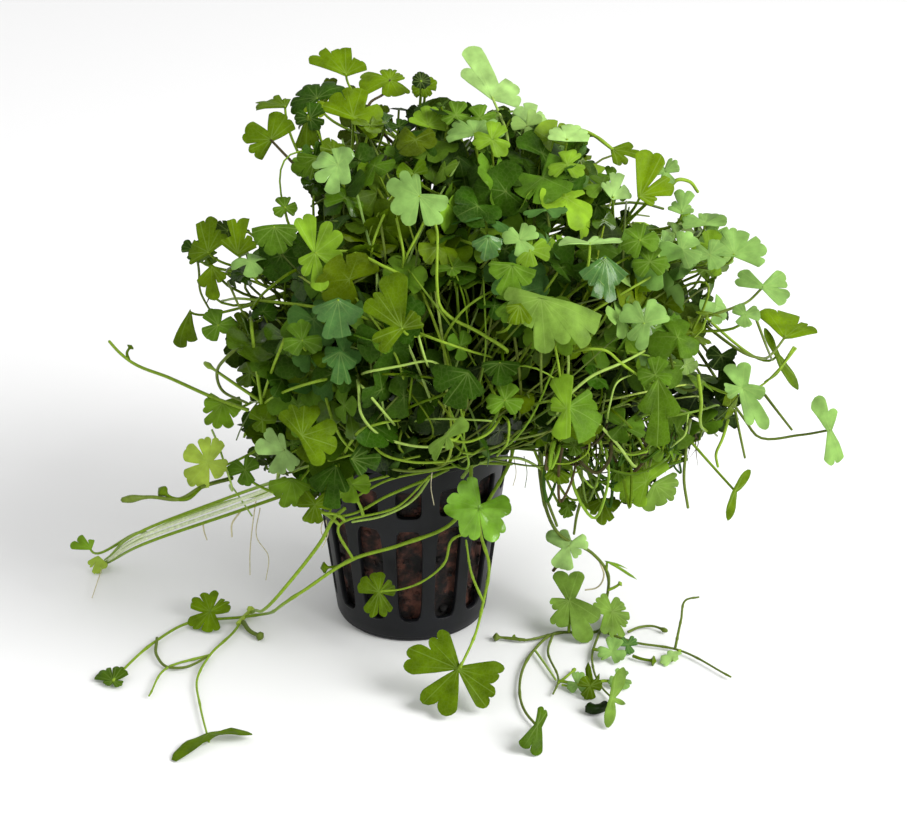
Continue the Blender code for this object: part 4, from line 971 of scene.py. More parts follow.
@dataclass(frozen=True)
class BladeForm:
    """The form of a blade with wedge-shaped lobes, each with rounded teeth at its broad end."""

    widening: float = math.radians(20)
    tooth_angle: float = math.radians(12)
    most_teeth: int = 3
    tooth_points: tuple = (0.0, 0.07, 0.22, 0.42, 0.62, 0.8, 0.94)
    tooth_depth: tuple = (0.07, 0.2)
    tooth_reach: tuple = (-0.09, 0.04)
    tooth_skew: float = 0.6
    lance_below: float = math.radians(14.5)
    lance_widening: float = 2.2
    lance_drop: float = 0.66
    lance_power: float = 1.3
    shoulder: float = 0.1
    side_points: int = 4
    side_bow: float = 0.01
    end_drop: float = 0.1
    open_gap: float = math.radians(150)
    least_notch: float = 0.6
    rows: tuple = (0.13, 0.3, 0.5, 0.68, 0.82, 0.93, 1.0)
    thickness: float = 0.26
    tilt: float = 0.24
    fold: float = 0.16
    wave: float = 0.045
    droop: float = 0.14
    crumple: float = 0.28
    wet_crumple: float = 0.4

    def notch(self, lobe: tuple, following: tuple, gap: float) -> float:
        """The distance from the junction of the notch between a lobe and the following one."""
        share = 0.1 if gap > self.open_gap else lobe[2]
        return max(share * min(lobe[1], following[1]), self.least_notch)

    def outline(self, blade: Blade, rng: np.random.Generator) -> tuple[np.ndarray, np.ndarray]:
        """The outline round a blade.

        Each lobe runs up one slightly bowed side from the notch before it to a shoulder, over its
        teeth, and down the other side. Over the teeth the turn goes from one shoulder to the
        other, and the radius is the lobe's length, less a share of the squared turn so that the
        end is rounded, less a depth times a curve between a half circle and a blunt point over
        each tooth. Each tooth leans to one side and stands a little further out or in. A narrow
        lobe is a lance instead: its radius falls with a power of the turn, down to its shoulders.

        Args:
            blade: the blade.
            rng: draws the widths, depths, leans and tips of the teeth.

        Returns:
            Outline points in the blade's plane, and the directions of all ribs.
        """
        points, ribs = [], []
        count = len(blade.lobes)
        turns = np.array([lobe[0] for lobe in blade.lobes])
        gaps = (np.roll(turns, -1) - turns) % (2.0 * np.pi)
        blunt = 1.15 - blade.cut
        share = np.array(self.tooth_points)
        rise = (np.arange(1, self.side_points) / self.side_points)[:, None]
        for index, (turn, length, _) in enumerate(blade.lobes):
            after, before = gaps[index], gaps[index - 1]
            widest = blade.half * rng.uniform(0.9, 1.1) + self.widening * blade.cut
            lance = blade.half < self.lance_below
            if lance:
                widest = blade.half * self.lance_widening
            half = min(widest, 0.47 * after, 0.47 * before)
            teeth = int(np.clip(round(half / self.tooth_angle), 1, self.most_teeth))
            widths = rng.uniform(0.65, 1.45, teeth)
            edges = np.concatenate([[0.0], np.cumsum(widths)]) * 2.0 / widths.sum() - 1.0
            depth = rng.uniform(*self.tooth_depth, teeth + 1)
            depth[[0, -1]] = self.shoulder * blunt
            skew = rng.uniform(-self.tooth_skew, self.tooth_skew, (teeth, 1))
            tip = rng.uniform(*self.tooth_reach, (teeth, 1)) * (1.0 - (2.0 * share - 1.0) ** 2)
            skewed = share + skew * share * (1.0 - share)
            u = (edges[:-1, None] + np.diff(edges)[:, None] * skewed).ravel()
            sag = (depth[:-1, None] * (1.0 - share) + depth[1:, None] * share)
            off = np.abs(2.0 * share - 1.0)
            tooth = 0.5 * (1.0 - np.sqrt(1.0 - off ** 2)) + 0.5 * off ** 1.5
            reach = 1.0 - self.end_drop * blunt * u * u - (sag * tooth).ravel() + tip.ravel()
            u = np.append(u, 1.0)
            reach = np.append(reach, 1.0 - (self.end_drop + self.shoulder) * blunt)
            if lance:
                reach = 1.0 - self.lance_drop * np.abs(u) ** self.lance_power
            arc = np.stack([np.cos(turn + half * u), np.sin(turn + half * u)], axis=1) * (reach * length)[:, None]
            lobe, following = blade.lobes[index], blade.lobes[(index + 1) % count]
            low = polar(turn - before / 2.0, self.notch(blade.lobes[index - 1], lobe, before))
            high = polar(turn + after / 2.0, self.notch(lobe, following, after))
            bow = np.sin(np.pi * rise) * self.side_bow * length
            up, down = arc[0] - low, high - arc[-1]
            rising = low + up * rise + bow * unit(np.array([up[1], -up[0]]))
            falling = arc[-1] + down * rise + bow * unit(np.array([down[1], -down[0]]))
            points.append(np.concatenate([low[None], rising, arc, falling]))
            ribs.append(turn + half * (edges[1:] + edges[:-1]) / 2.0)
        rib_turns = np.concatenate(ribs)
        return np.concatenate(points), np.stack([np.cos(rib_turns), np.sin(rib_turns)], axis=1)

    def lift(self, blade: Blade, flat: np.ndarray, rng: np.random.Generator) -> np.ndarray:
        """How far points of a blade stand off its plane.

        The cup adds a share of the squared distance from the junction, and each lobe's own tilt a
        share of the distance, blended between lobes by the fourth power of the cosine of the turn
        to each. The fold adds a share of the distance from the lobe's middle, the droop takes
        away the cube of the distance, a wave runs round the margin, and noise crumples the blade,
        a wet one most.

        Args:
            blade: the blade.
            flat: points in the blade's plane.
            rng: draws the tilts, the fold, the droop and the wave.

        Returns:
            One height a point.
        """
        turns = np.array([lobe[0] for lobe in blade.lobes])
        size = max(lobe[1] for lobe in blade.lobes)
        tilts = rng.uniform(-self.tilt, self.tilt, len(turns))
        fold = self.fold * rng.uniform(-0.6, 1.4)
        wave = self.wave * size * rng.uniform(0.4, 1.3)
        droop = self.droop * rng.uniform(0.1, 1.4)
        phase = rng.uniform(0.0, 6.28)
        distance = np.linalg.norm(flat, axis=-1)
        turn = np.arctan2(flat[..., 1], flat[..., 0])
        near = np.maximum(np.cos(turn[..., None] - turns), 0.0) ** 4 + 1e-3
        near /= near.sum(axis=-1, keepdims=True)
        beside = distance * (near * np.abs(np.sin(turn[..., None] - turns))).sum(axis=-1)
        height = (blade.cup * distance ** 2 / size + (near @ tilts) * distance + fold * beside
                  - droop * distance ** 3 / size ** 2
                  + wave * (distance / size) ** 2 * np.sin(5.0 * turn + phase))
        spots = np.concatenate([flat, np.zeros_like(flat[..., :1])], axis=-1)
        crumple = self.crumple + self.wet_crumple * blade.wet
        return height + crumple * lattice_noise(spots, 2.4, blade.seed)

    def add_to(self, sheaf: MeshSheaf, blade: Blade) -> None:
        """Add a blade to a sheaf, as a thin closed lens of an upper and a lower face.

        A point of a face is a share of the way from the junction to a point of the outline. The
        faces stand half the thickness above and below the lift, times the root of one minus the
        fourth power of the share, so they meet at the rim.

        Args:
            sheaf: takes the mesh.
            blade: the blade.
        """
        rng = np.random.default_rng(blade.seed)
        outline, ribs = self.outline(blade, rng)
        share = np.array(self.rows)[:, None]
        flat = share[:, :, None] * outline[None]
        lift = self.lift(blade, flat, rng)
        half = 0.5 * self.thickness * np.sqrt(1.0 - share ** 4)
        rib = np.abs(flat[..., 0, None] * ribs[:, 1] - flat[..., 1, None] * ribs[:, 0])
        ahead = flat[..., 0, None] * ribs[:, 0] + flat[..., 1, None] * ribs[:, 1]
        rib = np.where(ahead > 0.0, rib, 9.0).min(axis=-1)
        rows, columns = lift.shape
        upper = self.place(blade, flat, lift + half)
        lower = self.place(blade, flat[:-1], (lift - half)[:-1])
        poles = self.place(blade, np.zeros((2, 2)), np.array([0.5, -0.5]) * self.thickness)
        points = np.concatenate([upper.reshape(-1, 3), lower.reshape(-1, 3), poles])
        side = np.concatenate([np.ones(rows * columns), np.zeros((rows - 1) * columns), [1.0, 0.0]])
        if blade.rests:
            points[:, 2] += max(0.3 - points[:, 2].min(), 0.0) if points[:, 2].min() > -3.0 else 3.0
            points[:, 2] = np.maximum(points[:, 2], np.where(side > 0.5, 0.4, 0.12))
        column = np.arange(columns)
        following = (column + 1) % columns
        rim = (rows - 1) * columns
        below = rows * columns
        pole = below + (rows - 1) * columns
        faces = [np.stack([np.full(columns, pole), column, following], axis=1)]
        if rows > 1:
            last = below + (rows - 2) * columns
            faces.append(grid_faces(rows, columns, True)[:, ::-1])
            faces.append(np.stack([last + column, last + following, rim + following, rim + column], axis=1))
            if rows > 2:
                faces.append(grid_faces(rows - 1, columns, True) + below)
            faces.append(np.stack([np.full(columns, pole + 1), below + following, below + column], axis=1))
        else:
            faces.append(np.stack([np.full(columns, pole + 1), following, column], axis=1))
        margin = np.concatenate([np.repeat(self.rows, columns), np.repeat(self.rows[:-1], columns), [0.0, 0.0]])
        shade = (1.0 + 0.24 * lattice_noise(points, 4.0, blade.seed) + 0.1 * lattice_noise(points, 1.3, blade.seed)
                 - 0.08 * margin ** 3)
        sheaf.add(points, faces, blade.tone * shade[:, None], 2 if blade.wet > 0.0 else 0,
                  np.concatenate([rib.ravel(), rib[:-1].ravel(), [0.0, 0.0]]), side)

    def place(self, blade: Blade, flat: np.ndarray, lift: np.ndarray) -> np.ndarray:
        """Points of the blade's plane, lifted off it, in the frame of the model."""
        return (blade.origin + flat[..., :1] * blade.across + flat[..., 1:] * blade.along
                + lift[..., None] * blade.normal)


def polar(turn: float, radius: float) -> np.ndarray:
    """The plane point at a turn and a radius."""
    return np.array([math.cos(turn), math.sin(turn)]) * radius


READ_FORM = BladeForm()
FILL_FORM = BladeForm(
    most_teeth=2, tooth_angle=math.radians(15), tooth_points=(0.0, 0.12, 0.35, 0.65, 0.88), side_points=3,
    rows=(0.4, 0.75, 1.0), thickness=0.24, tilt=0.3,
)
SMALL_FORM = BladeForm(
    most_teeth=2, tooth_angle=math.radians(15), tooth_points=(0.0, 0.16, 0.5, 0.84), side_points=2,
    rows=(1.0,), thickness=0.22, tilt=0.3,
)


@dataclass
class Stem:
    """A stem of the plant: its path and radius, and how its leaves find it."""

    path: np.ndarray
    radius: float
    tone: Tone
    first_knot: int = 0


@dataclass
class Growth:
    """What grows from one node of the model: its stems, stalks and leaves, gathered as one mesh."""

    name: str
    stems: list[Stem]
    sheaf: MeshSheaf = field(default_factory=MeshSheaf)

    def knots(self) -> np.ndarray:
        """The points of the stems that leaves may grow from."""
        return np.concatenate([stem.path[stem.first_knot:] for stem in self.stems])

    def add_stems(self) -> None:
        """Add each stem as a tube that thins towards its tip and swells a little at its nodes."""
        for number, stem in enumerate(self.stems):
            steps = len(stem.path)
            share = np.linspace(0.0, 1.0, steps)
            swell = 0.22 * np.maximum(np.cos(share * 2.0 * np.pi * max(steps // 12, 2) + number), 0.0) ** 8
            radii = stem.radius * (1.0 - 0.35 * share + swell)
            points, faces = tubes(stem.path[None], radii[None], 8)
            tone = stem.tone.colour() * (1.0 + 0.12 * lattice_noise(points, 6.0, number))[:, None]
            self.sheaf.add(points, faces, tone, 1)


class Plant:
    """The pennywort: shoots, runners, read leaves, young leaves, twigs, buds and roots."""

    shoot_count = 22
    root_spread = 15.0
    medium_top = 44.8
    stem_radius = 0.8
    stalk_radius = 0.36
    trunk_radius = 0.46
    branch_radius = 0.33
    stem_reach = 0.56
    rim_crossing = ((17.5, 44.8), (19.5, 54.0), (24.0, 56.0), (28.5, 52.5))
    surface_height = 1.0
    lobe_limit = 13.0
    pixels = 4.17
    least_leaf = 2.2
    shared_cut = 0.7
    mouth = (468.0, 462.0)
    wet_share = 0.15

    def __init__(self) -> None:
        """Lay out the stems."""
        self.growths = [self.runner(runner) for runner in RUNNERS]
        self.growths += [self.shoot(index) for index in range(self.shoot_count)]
        self.seed = 0

    def stops(self, stops: tuple) -> np.ndarray:
        """The points of stops, which are places in the picture and how each one lies."""
        points = []
        for u, v, lie in stops:
            place = np.array([[u, v]])
            points.append(VIEW.on_height(place, self.surface_height) if lie is None else VIEW.ahead(place, lie))
        return np.concatenate(points)

    def twig_stops(self, stops: tuple) -> np.ndarray:
        """The points of a twig's stops, which may also lie at a depth in the mound."""
        points = []
        for u, v, lie in stops:
            place = np.array([[u, v]])
            if lie is None:
                points.append(VIEW.on_height(place, self.surface_height))
            elif lie < 0:
                points.append(MOUND.entry(place, np.array([-lie - 2.0])))
            else:
                points.append(VIEW.ahead(place, lie))
        return np.concatenate(points)

    def runner(self, runner: Runner) -> Growth:
        """The stems of a runner: over the rim, through its stops, and its branches."""
        bearing = math.radians(runner.bearing)
        flat = np.array([math.cos(bearing), math.sin(bearing), 0.0])
        rim = np.array([flat * out + np.array([0.0, 0.0, height]) for out, height in self.rim_crossing])
        trunk = smooth_path(np.concatenate([rim, self.stops(runner.trunk)]), 120)
        stems = [Stem(self.off_surface(trunk, self.trunk_radius), self.trunk_radius, runner.tone, 30)]
        for stops in runner.branches:
            branch = smooth_path(self.stops(stops), 50)
            stems.append(Stem(self.off_surface(branch, self.branch_radius), self.branch_radius, runner.tone))
        return Growth(runner.name, stems)

    def off_surface(self, path: np.ndarray, radius: float) -> np.ndarray:
        """The path, raised where it would sink into the surface."""
        raised = path.copy()
        raised[:, 2] = np.maximum(raised[:, 2], radius + 0.1)
        return raised

    def shoot(self, index: int) -> Growth:
        """The stem of a shoot: out of the medium, up, and over into the mound on a smooth bow."""
        turn = index * GOLDEN_ANGLE
        share = math.sqrt((index + 0.5) / self.shoot_count)
        flat = np.array([math.cos(turn), math.sin(turn), 0.0])
        root = flat * (self.root_spread * share) + np.array([0.0, 0.0, self.medium_top])
        rise = math.radians(84.0 - 104.0 * share)
        out = np.array([math.cos(rise) * flat[0], math.cos(rise) * flat[1], math.sin(rise)])
        end = np.array(MOUND.centre) + out * MOUND.radii * self.stem_reach
        first = root + np.array([0.0, 0.0, 17.0]) + flat * (3.0 * share)
        second = end + np.array([0.0, 0.0, 4.0]) - (end - root) * 0.3
        path = bezier([root, first, second, end], 40)
        return Growth(f"shoot_{index + 1:02d}", [Stem(path, self.stem_radius, Tone.STALK_DARK, 14)])

    def read_blade(self, leaf: Leaf, height: float) -> Blade:
        """The blade of a leaf read from the picture."""
        towards = -VIEW.sight(leaf.at)[0]
        side = unit(np.cross([0.0, 0.0, 1.0], towards))
        up = np.cross(towards, side)
        lean, swing = math.radians(leaf.lean), math.radians(leaf.swing)
        facing = towards * math.cos(swing) + side * math.sin(swing)
        normal = up * math.sin(lean) + facing * math.cos(lean)
        if leaf.rests:
            lowest = max(leaf.tips, key=lambda tip: tip[1])
            origin = VIEW.meet_plane(leaf.at, VIEW.on_height(lowest, height)[0], normal)[0]
        elif leaf.ahead is not None:
            origin = VIEW.ahead(leaf.at, leaf.ahead)[0]
        else:
            origin = MOUND.entry(leaf.at, np.array([leaf.deep]))[0]
        across = unit(side - normal * (side @ normal))
        along = np.cross(normal, across)
        arms = VIEW.meet_plane(np.array(leaf.tips), origin, normal) - origin
        lengths = np.minimum(np.linalg.norm(arms, axis=1), self.lobe_limit)
        turns = np.arctan2(arms @ along, arms @ across)
        order = np.argsort(turns)
        pairs = [set(pair) for pair in leaf.shared]
        lobes = []
        for first, second in zip(order, np.roll(order, -1)):
            cut = self.shared_cut if {int(first), int(second)} in pairs else leaf.cut
            lobes.append((turns[first], lengths[first], cut))
        self.seed += 1
        via = np.zeros((0, 3))
        if leaf.via:
            behind = leaf.deep + 4.5 + np.arange(1, len(leaf.via) + 1)
            via = MOUND.entry(np.array(leaf.via), np.minimum(behind, max(leaf.deep + 5.0, 4.0)))
        return Blade(origin, across, along, normal, lobes, leaf.tone.colour(), via, leaf.wet, leaf.cup,
                     leaf.rests, leaf.cut, math.radians(leaf.half), self.seed)

    def even_blade(self, origin: np.ndarray, normal: np.ndarray, turn: float, size: float,
                   tone: np.ndarray, rests: bool = False, cut: float = 0.3, wet: float = 0.0) -> Blade:
        """A blade with a middle lobe at a turn and a slightly shorter one to each side."""
        side = np.cross([0.0, 0.0, 1.0], normal) + np.array([1e-3, 0.0, 0.0])
        side = unit(side - normal * (side @ normal))
        along = np.cross(normal, side)
        spread = math.radians(96) if cut > 0.5 else math.radians(114)
        angles = [(turn, 1.0), (turn + spread, 0.9), (turn - spread, 0.92)]
        lobes = sorted((math.remainder(angle, 2.0 * math.pi), size * share, cut) for angle, share in angles)
        self.seed += 1
        return Blade(origin, side, along, normal, lobes, tone, rests=rests, cut=cut,
                     half=math.radians(34), seed=self.seed, wet=wet)

    def add_leaf(self, blade: Blade, form: BladeForm, stalk_tone: Tone, sides: int, steps: int,
                 reach: float = 0.0) -> None:
        """Add a leaf to the growth whose stem is nearest, with a stalk on a smooth bow.

        Args:
            blade: the leaf's blade.
            form: the form that its blade takes.
            stalk_tone: the stalk's colour.
            sides: how many points go round the stalk.
            steps: how many points the stalk's path has.
            reach: how long the stalk would be, or 0 for one to the nearest point of the stem.
        """
        last = blade.via[-1] if len(blade.via) else blade.origin - blade.normal * 3.0
        distances = [np.linalg.norm(knots - last, axis=1) for knots in self.knots]
        nearest = np.array([distance.min() for distance in distances])
        if reach > 0.0:
            nearest[:len(RUNNERS)] = np.inf
        chosen = int(np.argmin(nearest))
        growth = self.growths[chosen]
        knot = self.knots[chosen][np.argmin(np.abs(distances[chosen] - reach))]
        if len(blade.via):
            path = smooth_path(np.concatenate([blade.origin[None], blade.via, knot[None]]), steps)
        else:
            length = np.linalg.norm(blade.origin - knot)
            under = blade.origin - blade.normal * (0.28 * length) - np.array([0.0, 0.0, 0.12 * length])
            above = knot + (blade.origin - knot) * 0.25 + np.array([0.0, 0.0, 0.14 * length])
            path = bezier([blade.origin, under, above, knot], steps)
        if blade.rests:
            path = self.off_surface(path, self.stalk_radius)
        radii = self.stalk_radius * np.linspace(0.75, 1.15, len(path))
        points, faces = tubes(path[None], radii[None], sides)
        growth.sheaf.add(points, faces, stalk_tone.colour(), 1)
        form.add_to(growth.sheaf, blade)

    def add_twig(self, twig: Twig) -> None:
        """Add a fine stem or root, with a bud at its end where it has one."""
        stops = self.twig_stops(twig.stops)
        path = smooth_path(stops, 12 * (len(stops) - 1))
        if twig.stops[-1][2] is None:
            path = self.off_surface(path, twig.radius)
        distances = [np.linalg.norm(knots - path[0], axis=1).min() for knots in self.knots]
        growth = self.growths[int(np.argmin(distances))]
        share = np.linspace(0.0, 1.0, len(path))
        bulge = np.exp(-((share - 0.93) / 0.07) ** 2) * max(twig.bud - twig.radius, 0.0)
        radii = twig.radius * (1.0 - 0.25 * share) + bulge
        points, faces = tubes(path[None], radii[None], 7)
        points[:, 2] = np.maximum(points[:, 2], 0.05)
        growth.sheaf.add(points, faces, twig.tone.colour(), 1)

    def add_read(self) -> None:
        """Add the leaves that are read from the picture, large and small."""
        for leaf in LEAVES:
            blade = self.read_blade(leaf, 0.3)
            in_mound = not leaf.rests and leaf.ahead is None
            self.add_leaf(blade, READ_FORM, leaf.stalk, 8, 40 if leaf.via else 20, 0.1 if in_mound else 0.0)
        for young in YOUNG:
            towards = -VIEW.sight(young.at)[0]
            lean = math.radians(young.lean)
            up = np.array([0.0, 0.0, 1.0])
            normal = unit(towards * math.cos(lean) + up * math.sin(lean))
            if young.rests:
                origin = VIEW.on_height(young.at, 2.2)[0]
            else:
                origin = MOUND.entry(young.at, np.array([young.deep]))[0]
            blade = self.even_blade(origin, normal, math.radians(young.turn), young.size, young.tone.colour(),
                                    young.rests)
            self.add_leaf(blade, READ_FORM, Tone.STALK, 6, 16)

    def thicket_places(self, spacing: float, rng: np.random.Generator) -> np.ndarray:
        """Jittered places inside the mound's outline in the picture.

        Args:
            spacing: the distance between places, in pixels.
            rng: draws the jitter.

        Returns:
            Places, shape (n, 2), of a grid with every other row moved by half a step.
        """
        corners = np.array(MOUND_OUTLINE, float)
        low, high = corners.min(axis=0), corners.max(axis=0)
        u, v = np.meshgrid(np.arange(low[0], high[0], spacing), np.arange(low[1], high[1], spacing * 0.9))
        u = u + (np.arange(u.shape[0]) % 2)[:, None] * spacing / 2.0
        places = np.stack([u.ravel(), v.ravel()], axis=1)
        places += rng.uniform(-0.4, 0.4, places.shape) * spacing
        return places[inside(places, MOUND_OUTLINE)]

    def zone(self, place: np.ndarray) -> Zone:
        """The zone whose middle is nearest to a place in the picture."""
        return min(ZONES, key=lambda z: np.hypot(*(np.array(z.at) - place)))

    def varied(self, tone: Tone, rng: np.random.Generator) -> np.ndarray:
        """A tone's colour, a little lighter or darker and a little warmer or cooler."""
        tint = np.array([rng.uniform(0.88, 1.12), 1.0, rng.uniform(0.8, 1.1)])
        return tone.colour() * tint * rng.uniform(0.78, 1.15)

    def add_thicket(self, spacing: float, depths: tuple, sizes: tuple, inner: bool, seed: int) -> int:
        """Add a layer of leaves behind the read ones, over the whole front of the mound.

        Args:
            spacing: the distance between leaves in the picture, in pixels.
            depths: the least and greatest depth in the mound.
            sizes: the least and greatest length of a lobe.
            inner: whether it is the inner layer, which is closed all over and darkened as painted
                shade. The outer layer is as full as its zones are.
            seed: picks the draws.

        Returns:
            How many leaves were added.
        """
        rng = np.random.default_rng(seed)
        places = self.thicket_places(spacing, rng)
        depth = rng.uniform(*depths, len(places))
        origins = MOUND.entry(places, depth)
        towards = -VIEW.sight(places)
        outward = unit((origins - MOUND.centre) / MOUND.radii)
        normals = unit(towards * 0.4 + outward * 0.4 + np.array([0.15, 0.0, 0.6])
                       + rng.normal(0.0, 0.6, origins.shape))
        most = room(places) / self.pixels
        count = 0
        for place, origin, normal, space in zip(places, origins, normals, most):
            zone = self.zone(place)
            size = min(rng.uniform(*sizes), space)
            if size < self.least_leaf or (not inner and rng.uniform() > zone.fill):
                continue
            tone = self.varied(zone.tones[rng.integers(len(zone.tones))], rng)
            # The inner layer is darkened as painted shade: the shade tone where the zone is sparse, about a third of
            # the zone's green elsewhere.
            if inner:
                tone = self.varied(Tone.SHADE, rng) if zone.fill < 0.5 else tone * 0.36
            wet = 0.0 if inner or rng.uniform() > self.wet_share else rng.uniform(0.3, 0.8)
            blade = self.even_blade(origin, normal, rng.uniform(-3.1, 3.1), size, tone,
                                    cut=rng.choice([0.2, 0.35, 0.6]), wet=wet)
            stalk = (Tone.STALK, Tone.STALK_DARK, Tone.OLIVE)[rng.integers(3)]
            self.add_leaf(blade, SMALL_FORM if inner else FILL_FORM, stalk, 5, 10, rng.uniform(14.0, 46.0))
            count += 1
        return count

    def add_back(self, count: int, reach: tuple, sizes: tuple, seed: int) -> int:
        """Add leaves over the back and sides of the mound, on a golden spiral.

        A leaf that the picture would show outside the mound's outline moves in towards the
        mound's middle until it is hidden, or is left out.

        Args:
            count: how many places the spiral has all round.
            reach: the greatest and least share of the mound's radii.
            sizes: the least and greatest length of a lobe.
            seed: picks the draws.

        Returns:
            How many leaves were added.
        """
        rng = np.random.default_rng(seed)
        index = np.arange(count)
        height = 1.0 - 1.5 * (index + 0.5) / count
        level = np.sqrt(np.maximum(1.0 - height * height, 0.0))
        turn = index * GOLDEN_ANGLE
        out = np.stack([level * np.cos(turn), level * np.sin(turn), height], axis=1)
        out = out[out[:, 1] > -0.15]
        shares = np.linspace(reach[0], reach[1], 6)[None, :] * rng.uniform(0.95, 1.0, (len(out), 1))
        points = np.array(MOUND.centre) + out[:, None, :] * MOUND.radii * shares[..., None]
        size = rng.uniform(*sizes, len(out))
        hidden = room(VIEW.project(points).reshape(-1, 2)).reshape(shares.shape) > self.pixels * size[:, None]
        kept = hidden.any(axis=1)
        origins = points[np.arange(len(out)), hidden.argmax(axis=1)][kept]
        normals = unit(out[kept] * 0.8 + np.array([0.0, 0.1, 0.5]) + rng.normal(0.0, 0.35, (kept.sum(), 3)))
        greens = (Tone.MID, Tone.OLIVE, Tone.PALE, Tone.DARK, Tone.BRIGHT, Tone.OLIVE_BRIGHT)
        for origin, normal, length in zip(origins, normals, size[kept]):
            tone = self.varied(greens[rng.integers(len(greens))], rng)
            blade = self.even_blade(origin, normal, rng.uniform(-3.1, 3.1), length, tone,
                                    cut=rng.choice([0.2, 0.35, 0.6]))
            self.add_leaf(blade, SMALL_FORM, Tone.STALK, 4, 8, rng.uniform(8.0, 30.0))
        return len(origins)

    def add_wires(self, count: int, seed: int) -> None:
        """Add bare stems that sweep out from the pot's mouth, over the open parts of the front.

        Each runs from the medium to the mound's surface, along it away from the mouth, and dives
        in again under the leaves. The deeper its first point on the surface lies, the darker it is painted, as painted
        shade.

        Args:
            count: how many stems are tried. They are kept as often as their zone is bare.
            seed: picks the draws.
        """
        rng = np.random.default_rng(seed)
        places = np.stack([rng.uniform(200.0, 750.0, count), rng.uniform(110.0, 440.0, count)], axis=1)
        bare = np.array([1.0 - self.zone(place).fill for place in places])
        places = places[(room(places) > 4.0) & (rng.uniform(0.0, 1.0, count) < bare)]
        count = len(places)
        away = unit(places - np.array(self.mouth)) + rng.normal(0.0, 0.75, places.shape)
        second = places + away * rng.uniform(20.0, 70.0, (count, 1))
        last = second + away * rng.uniform(8.0, 24.0, (count, 1)) + np.array([0.0, 6.0])
        depth = rng.uniform(3.0, 16.0, count)
        surface = MOUND.entry(places, depth)
        along = MOUND.entry(second, rng.uniform(1.0, 14.0, count))
        under = MOUND.entry(last, rng.uniform(18.0, 30.0, count))
        bearing = np.arctan2(surface[:, 1], surface[:, 0]) + rng.normal(0.0, 0.4, count)
        out = rng.uniform(5.0, 18.0, count)
        root = np.stack([out * np.cos(bearing), out * np.sin(bearing), np.full(count, self.medium_top)], axis=1)
        kept = (room(second) > 2.0) & (room(last) > 2.0)
        tones = (Tone.STALK, Tone.STALK_DARK, Tone.OLIVE, Tone.STALK, Tone.STALK_PALE)
        # Painted shade: a strand's colour falls to under half as its start lies deeper in the mound.
        depth_shade = np.interp(depth, (3.0, 14.0), (1.0, 0.45))[kept]
        for number, stops in enumerate(np.stack([root, surface, along, under], axis=1)[kept]):
            colour = self.varied(tones[number % 5], rng) * depth_shade[number]
            self.add_strand(smooth_path(stops, 26), rng.uniform(0.2, 0.36), colour, 6)

    def add_inner_wires(self, count: int, seed: int) -> None:
        """Add stems that rise from the medium to the mound's inside, all round.

        Args:
            count: how many stems.
            seed: picks the draws.
        """
        rng = np.random.default_rng(seed)
        turn = rng.uniform(0.0, 2.0 * math.pi, count)
        rise = rng.uniform(-0.6, 1.2, count)
        out = np.stack([np.cos(turn) * np.cos(rise), np.sin(turn) * np.cos(rise), np.sin(rise)], axis=1)
        ends = MOUND.shell(out, rng.uniform(0.5, 0.8, count))
        flat = np.stack([np.cos(turn), np.sin(turn), 0.0 * turn], axis=1)
        up = np.array([0.0, 0.0, 1.0])
        roots = flat * rng.uniform(5.0, 18.0, (count, 1)) + up * self.medium_top
        span = np.linalg.norm(ends - roots, axis=1, keepdims=True)
        first = roots + (up * rng.uniform(0.25, 0.5, (count, 1)) + flat * 0.1) * span
        second = ends - flat * span * 0.3 + up * span * rng.uniform(0.05, 0.3, (count, 1))
        for path in bezier([roots, first, second, ends], 18):
            self.add_strand(path, rng.uniform(0.24, 0.42), self.varied(Tone.STALK_DARK, rng), 5)

    def add_strand(self, path: np.ndarray, radius: float | np.ndarray, tone: np.ndarray, sides: int) -> None:
        """Add a bare thin stem to the shoot that its start is nearest to.

        Args:
            path: the stem's path.
            radius: its radius, or one radius a point.
            tone: its colour.
            sides: how many points go round it.
        """
        knots = self.knots[len(RUNNERS):]
        nearest = [np.linalg.norm(points - path[0], axis=1).min() for points in knots]
        growth = self.growths[len(RUNNERS) + int(np.argmin(nearest))]
        radii = radius * np.linspace(1.1, 0.75, len(path)) if np.isscalar(radius) else radius
        points, faces = tubes(path[None], radii[None], sides)
        growth.sheaf.add(points, faces, tone, 1)

    def add_net(self, count: int, seed: int) -> None:
        """Add thin stems that hang in loops out of the mound's lower right edge and cross.

        Args:
            count: how many.
            seed: picks the draws.
        """
        rng = np.random.default_rng(seed)
        start = np.stack([rng.uniform(546.0, 680.0, count), rng.uniform(424.0, 456.0, count)], axis=1)
        end = start + np.stack([rng.normal(0.0, 34.0, count), rng.uniform(-10.0, 16.0, count)], axis=1)
        end = np.clip(end, (548.0, 424.0), (674.0, 458.0))
        drop = np.where(start[:, 0] < 622.0, 14.0 + 58.0 * rng.uniform(0.0, 1.0, count) ** 1.8,
                        rng.uniform(6.0, 26.0, count))
        low = (start + end) / 2.0 + np.stack([rng.normal(0.0, 8.0, count), drop], axis=1)
        roots = MOUND.entry(start, rng.uniform(4.0, 20.0, count))
        ends = MOUND.entry(end, rng.uniform(4.0, 20.0, count))
        ahead = rng.uniform(-3.0, 5.0, count) - (roots[:, 1] + ends[:, 1]) / 2.0
        tones = (Tone.OLIVE_DARK, Tone.DARK, Tone.STALK_DARK, Tone.OLIVE, Tone.BROWN, Tone.STALK)
        for number in range(count):
            first, bottom, last = start[number], low[number], end[number]
            places = np.array([first * 0.5 + bottom * 0.5 + (first - last) * 0.22, bottom,
                               last * 0.5 + bottom * 0.5 + (last - first) * 0.22])
            stops = np.concatenate([roots[number][None], VIEW.ahead(places, ahead[number]), ends[number][None]])
            self.add_strand(smooth_path(stops, 22), rng.uniform(0.16, 0.42), self.varied(tones[number % 6], rng), 5)

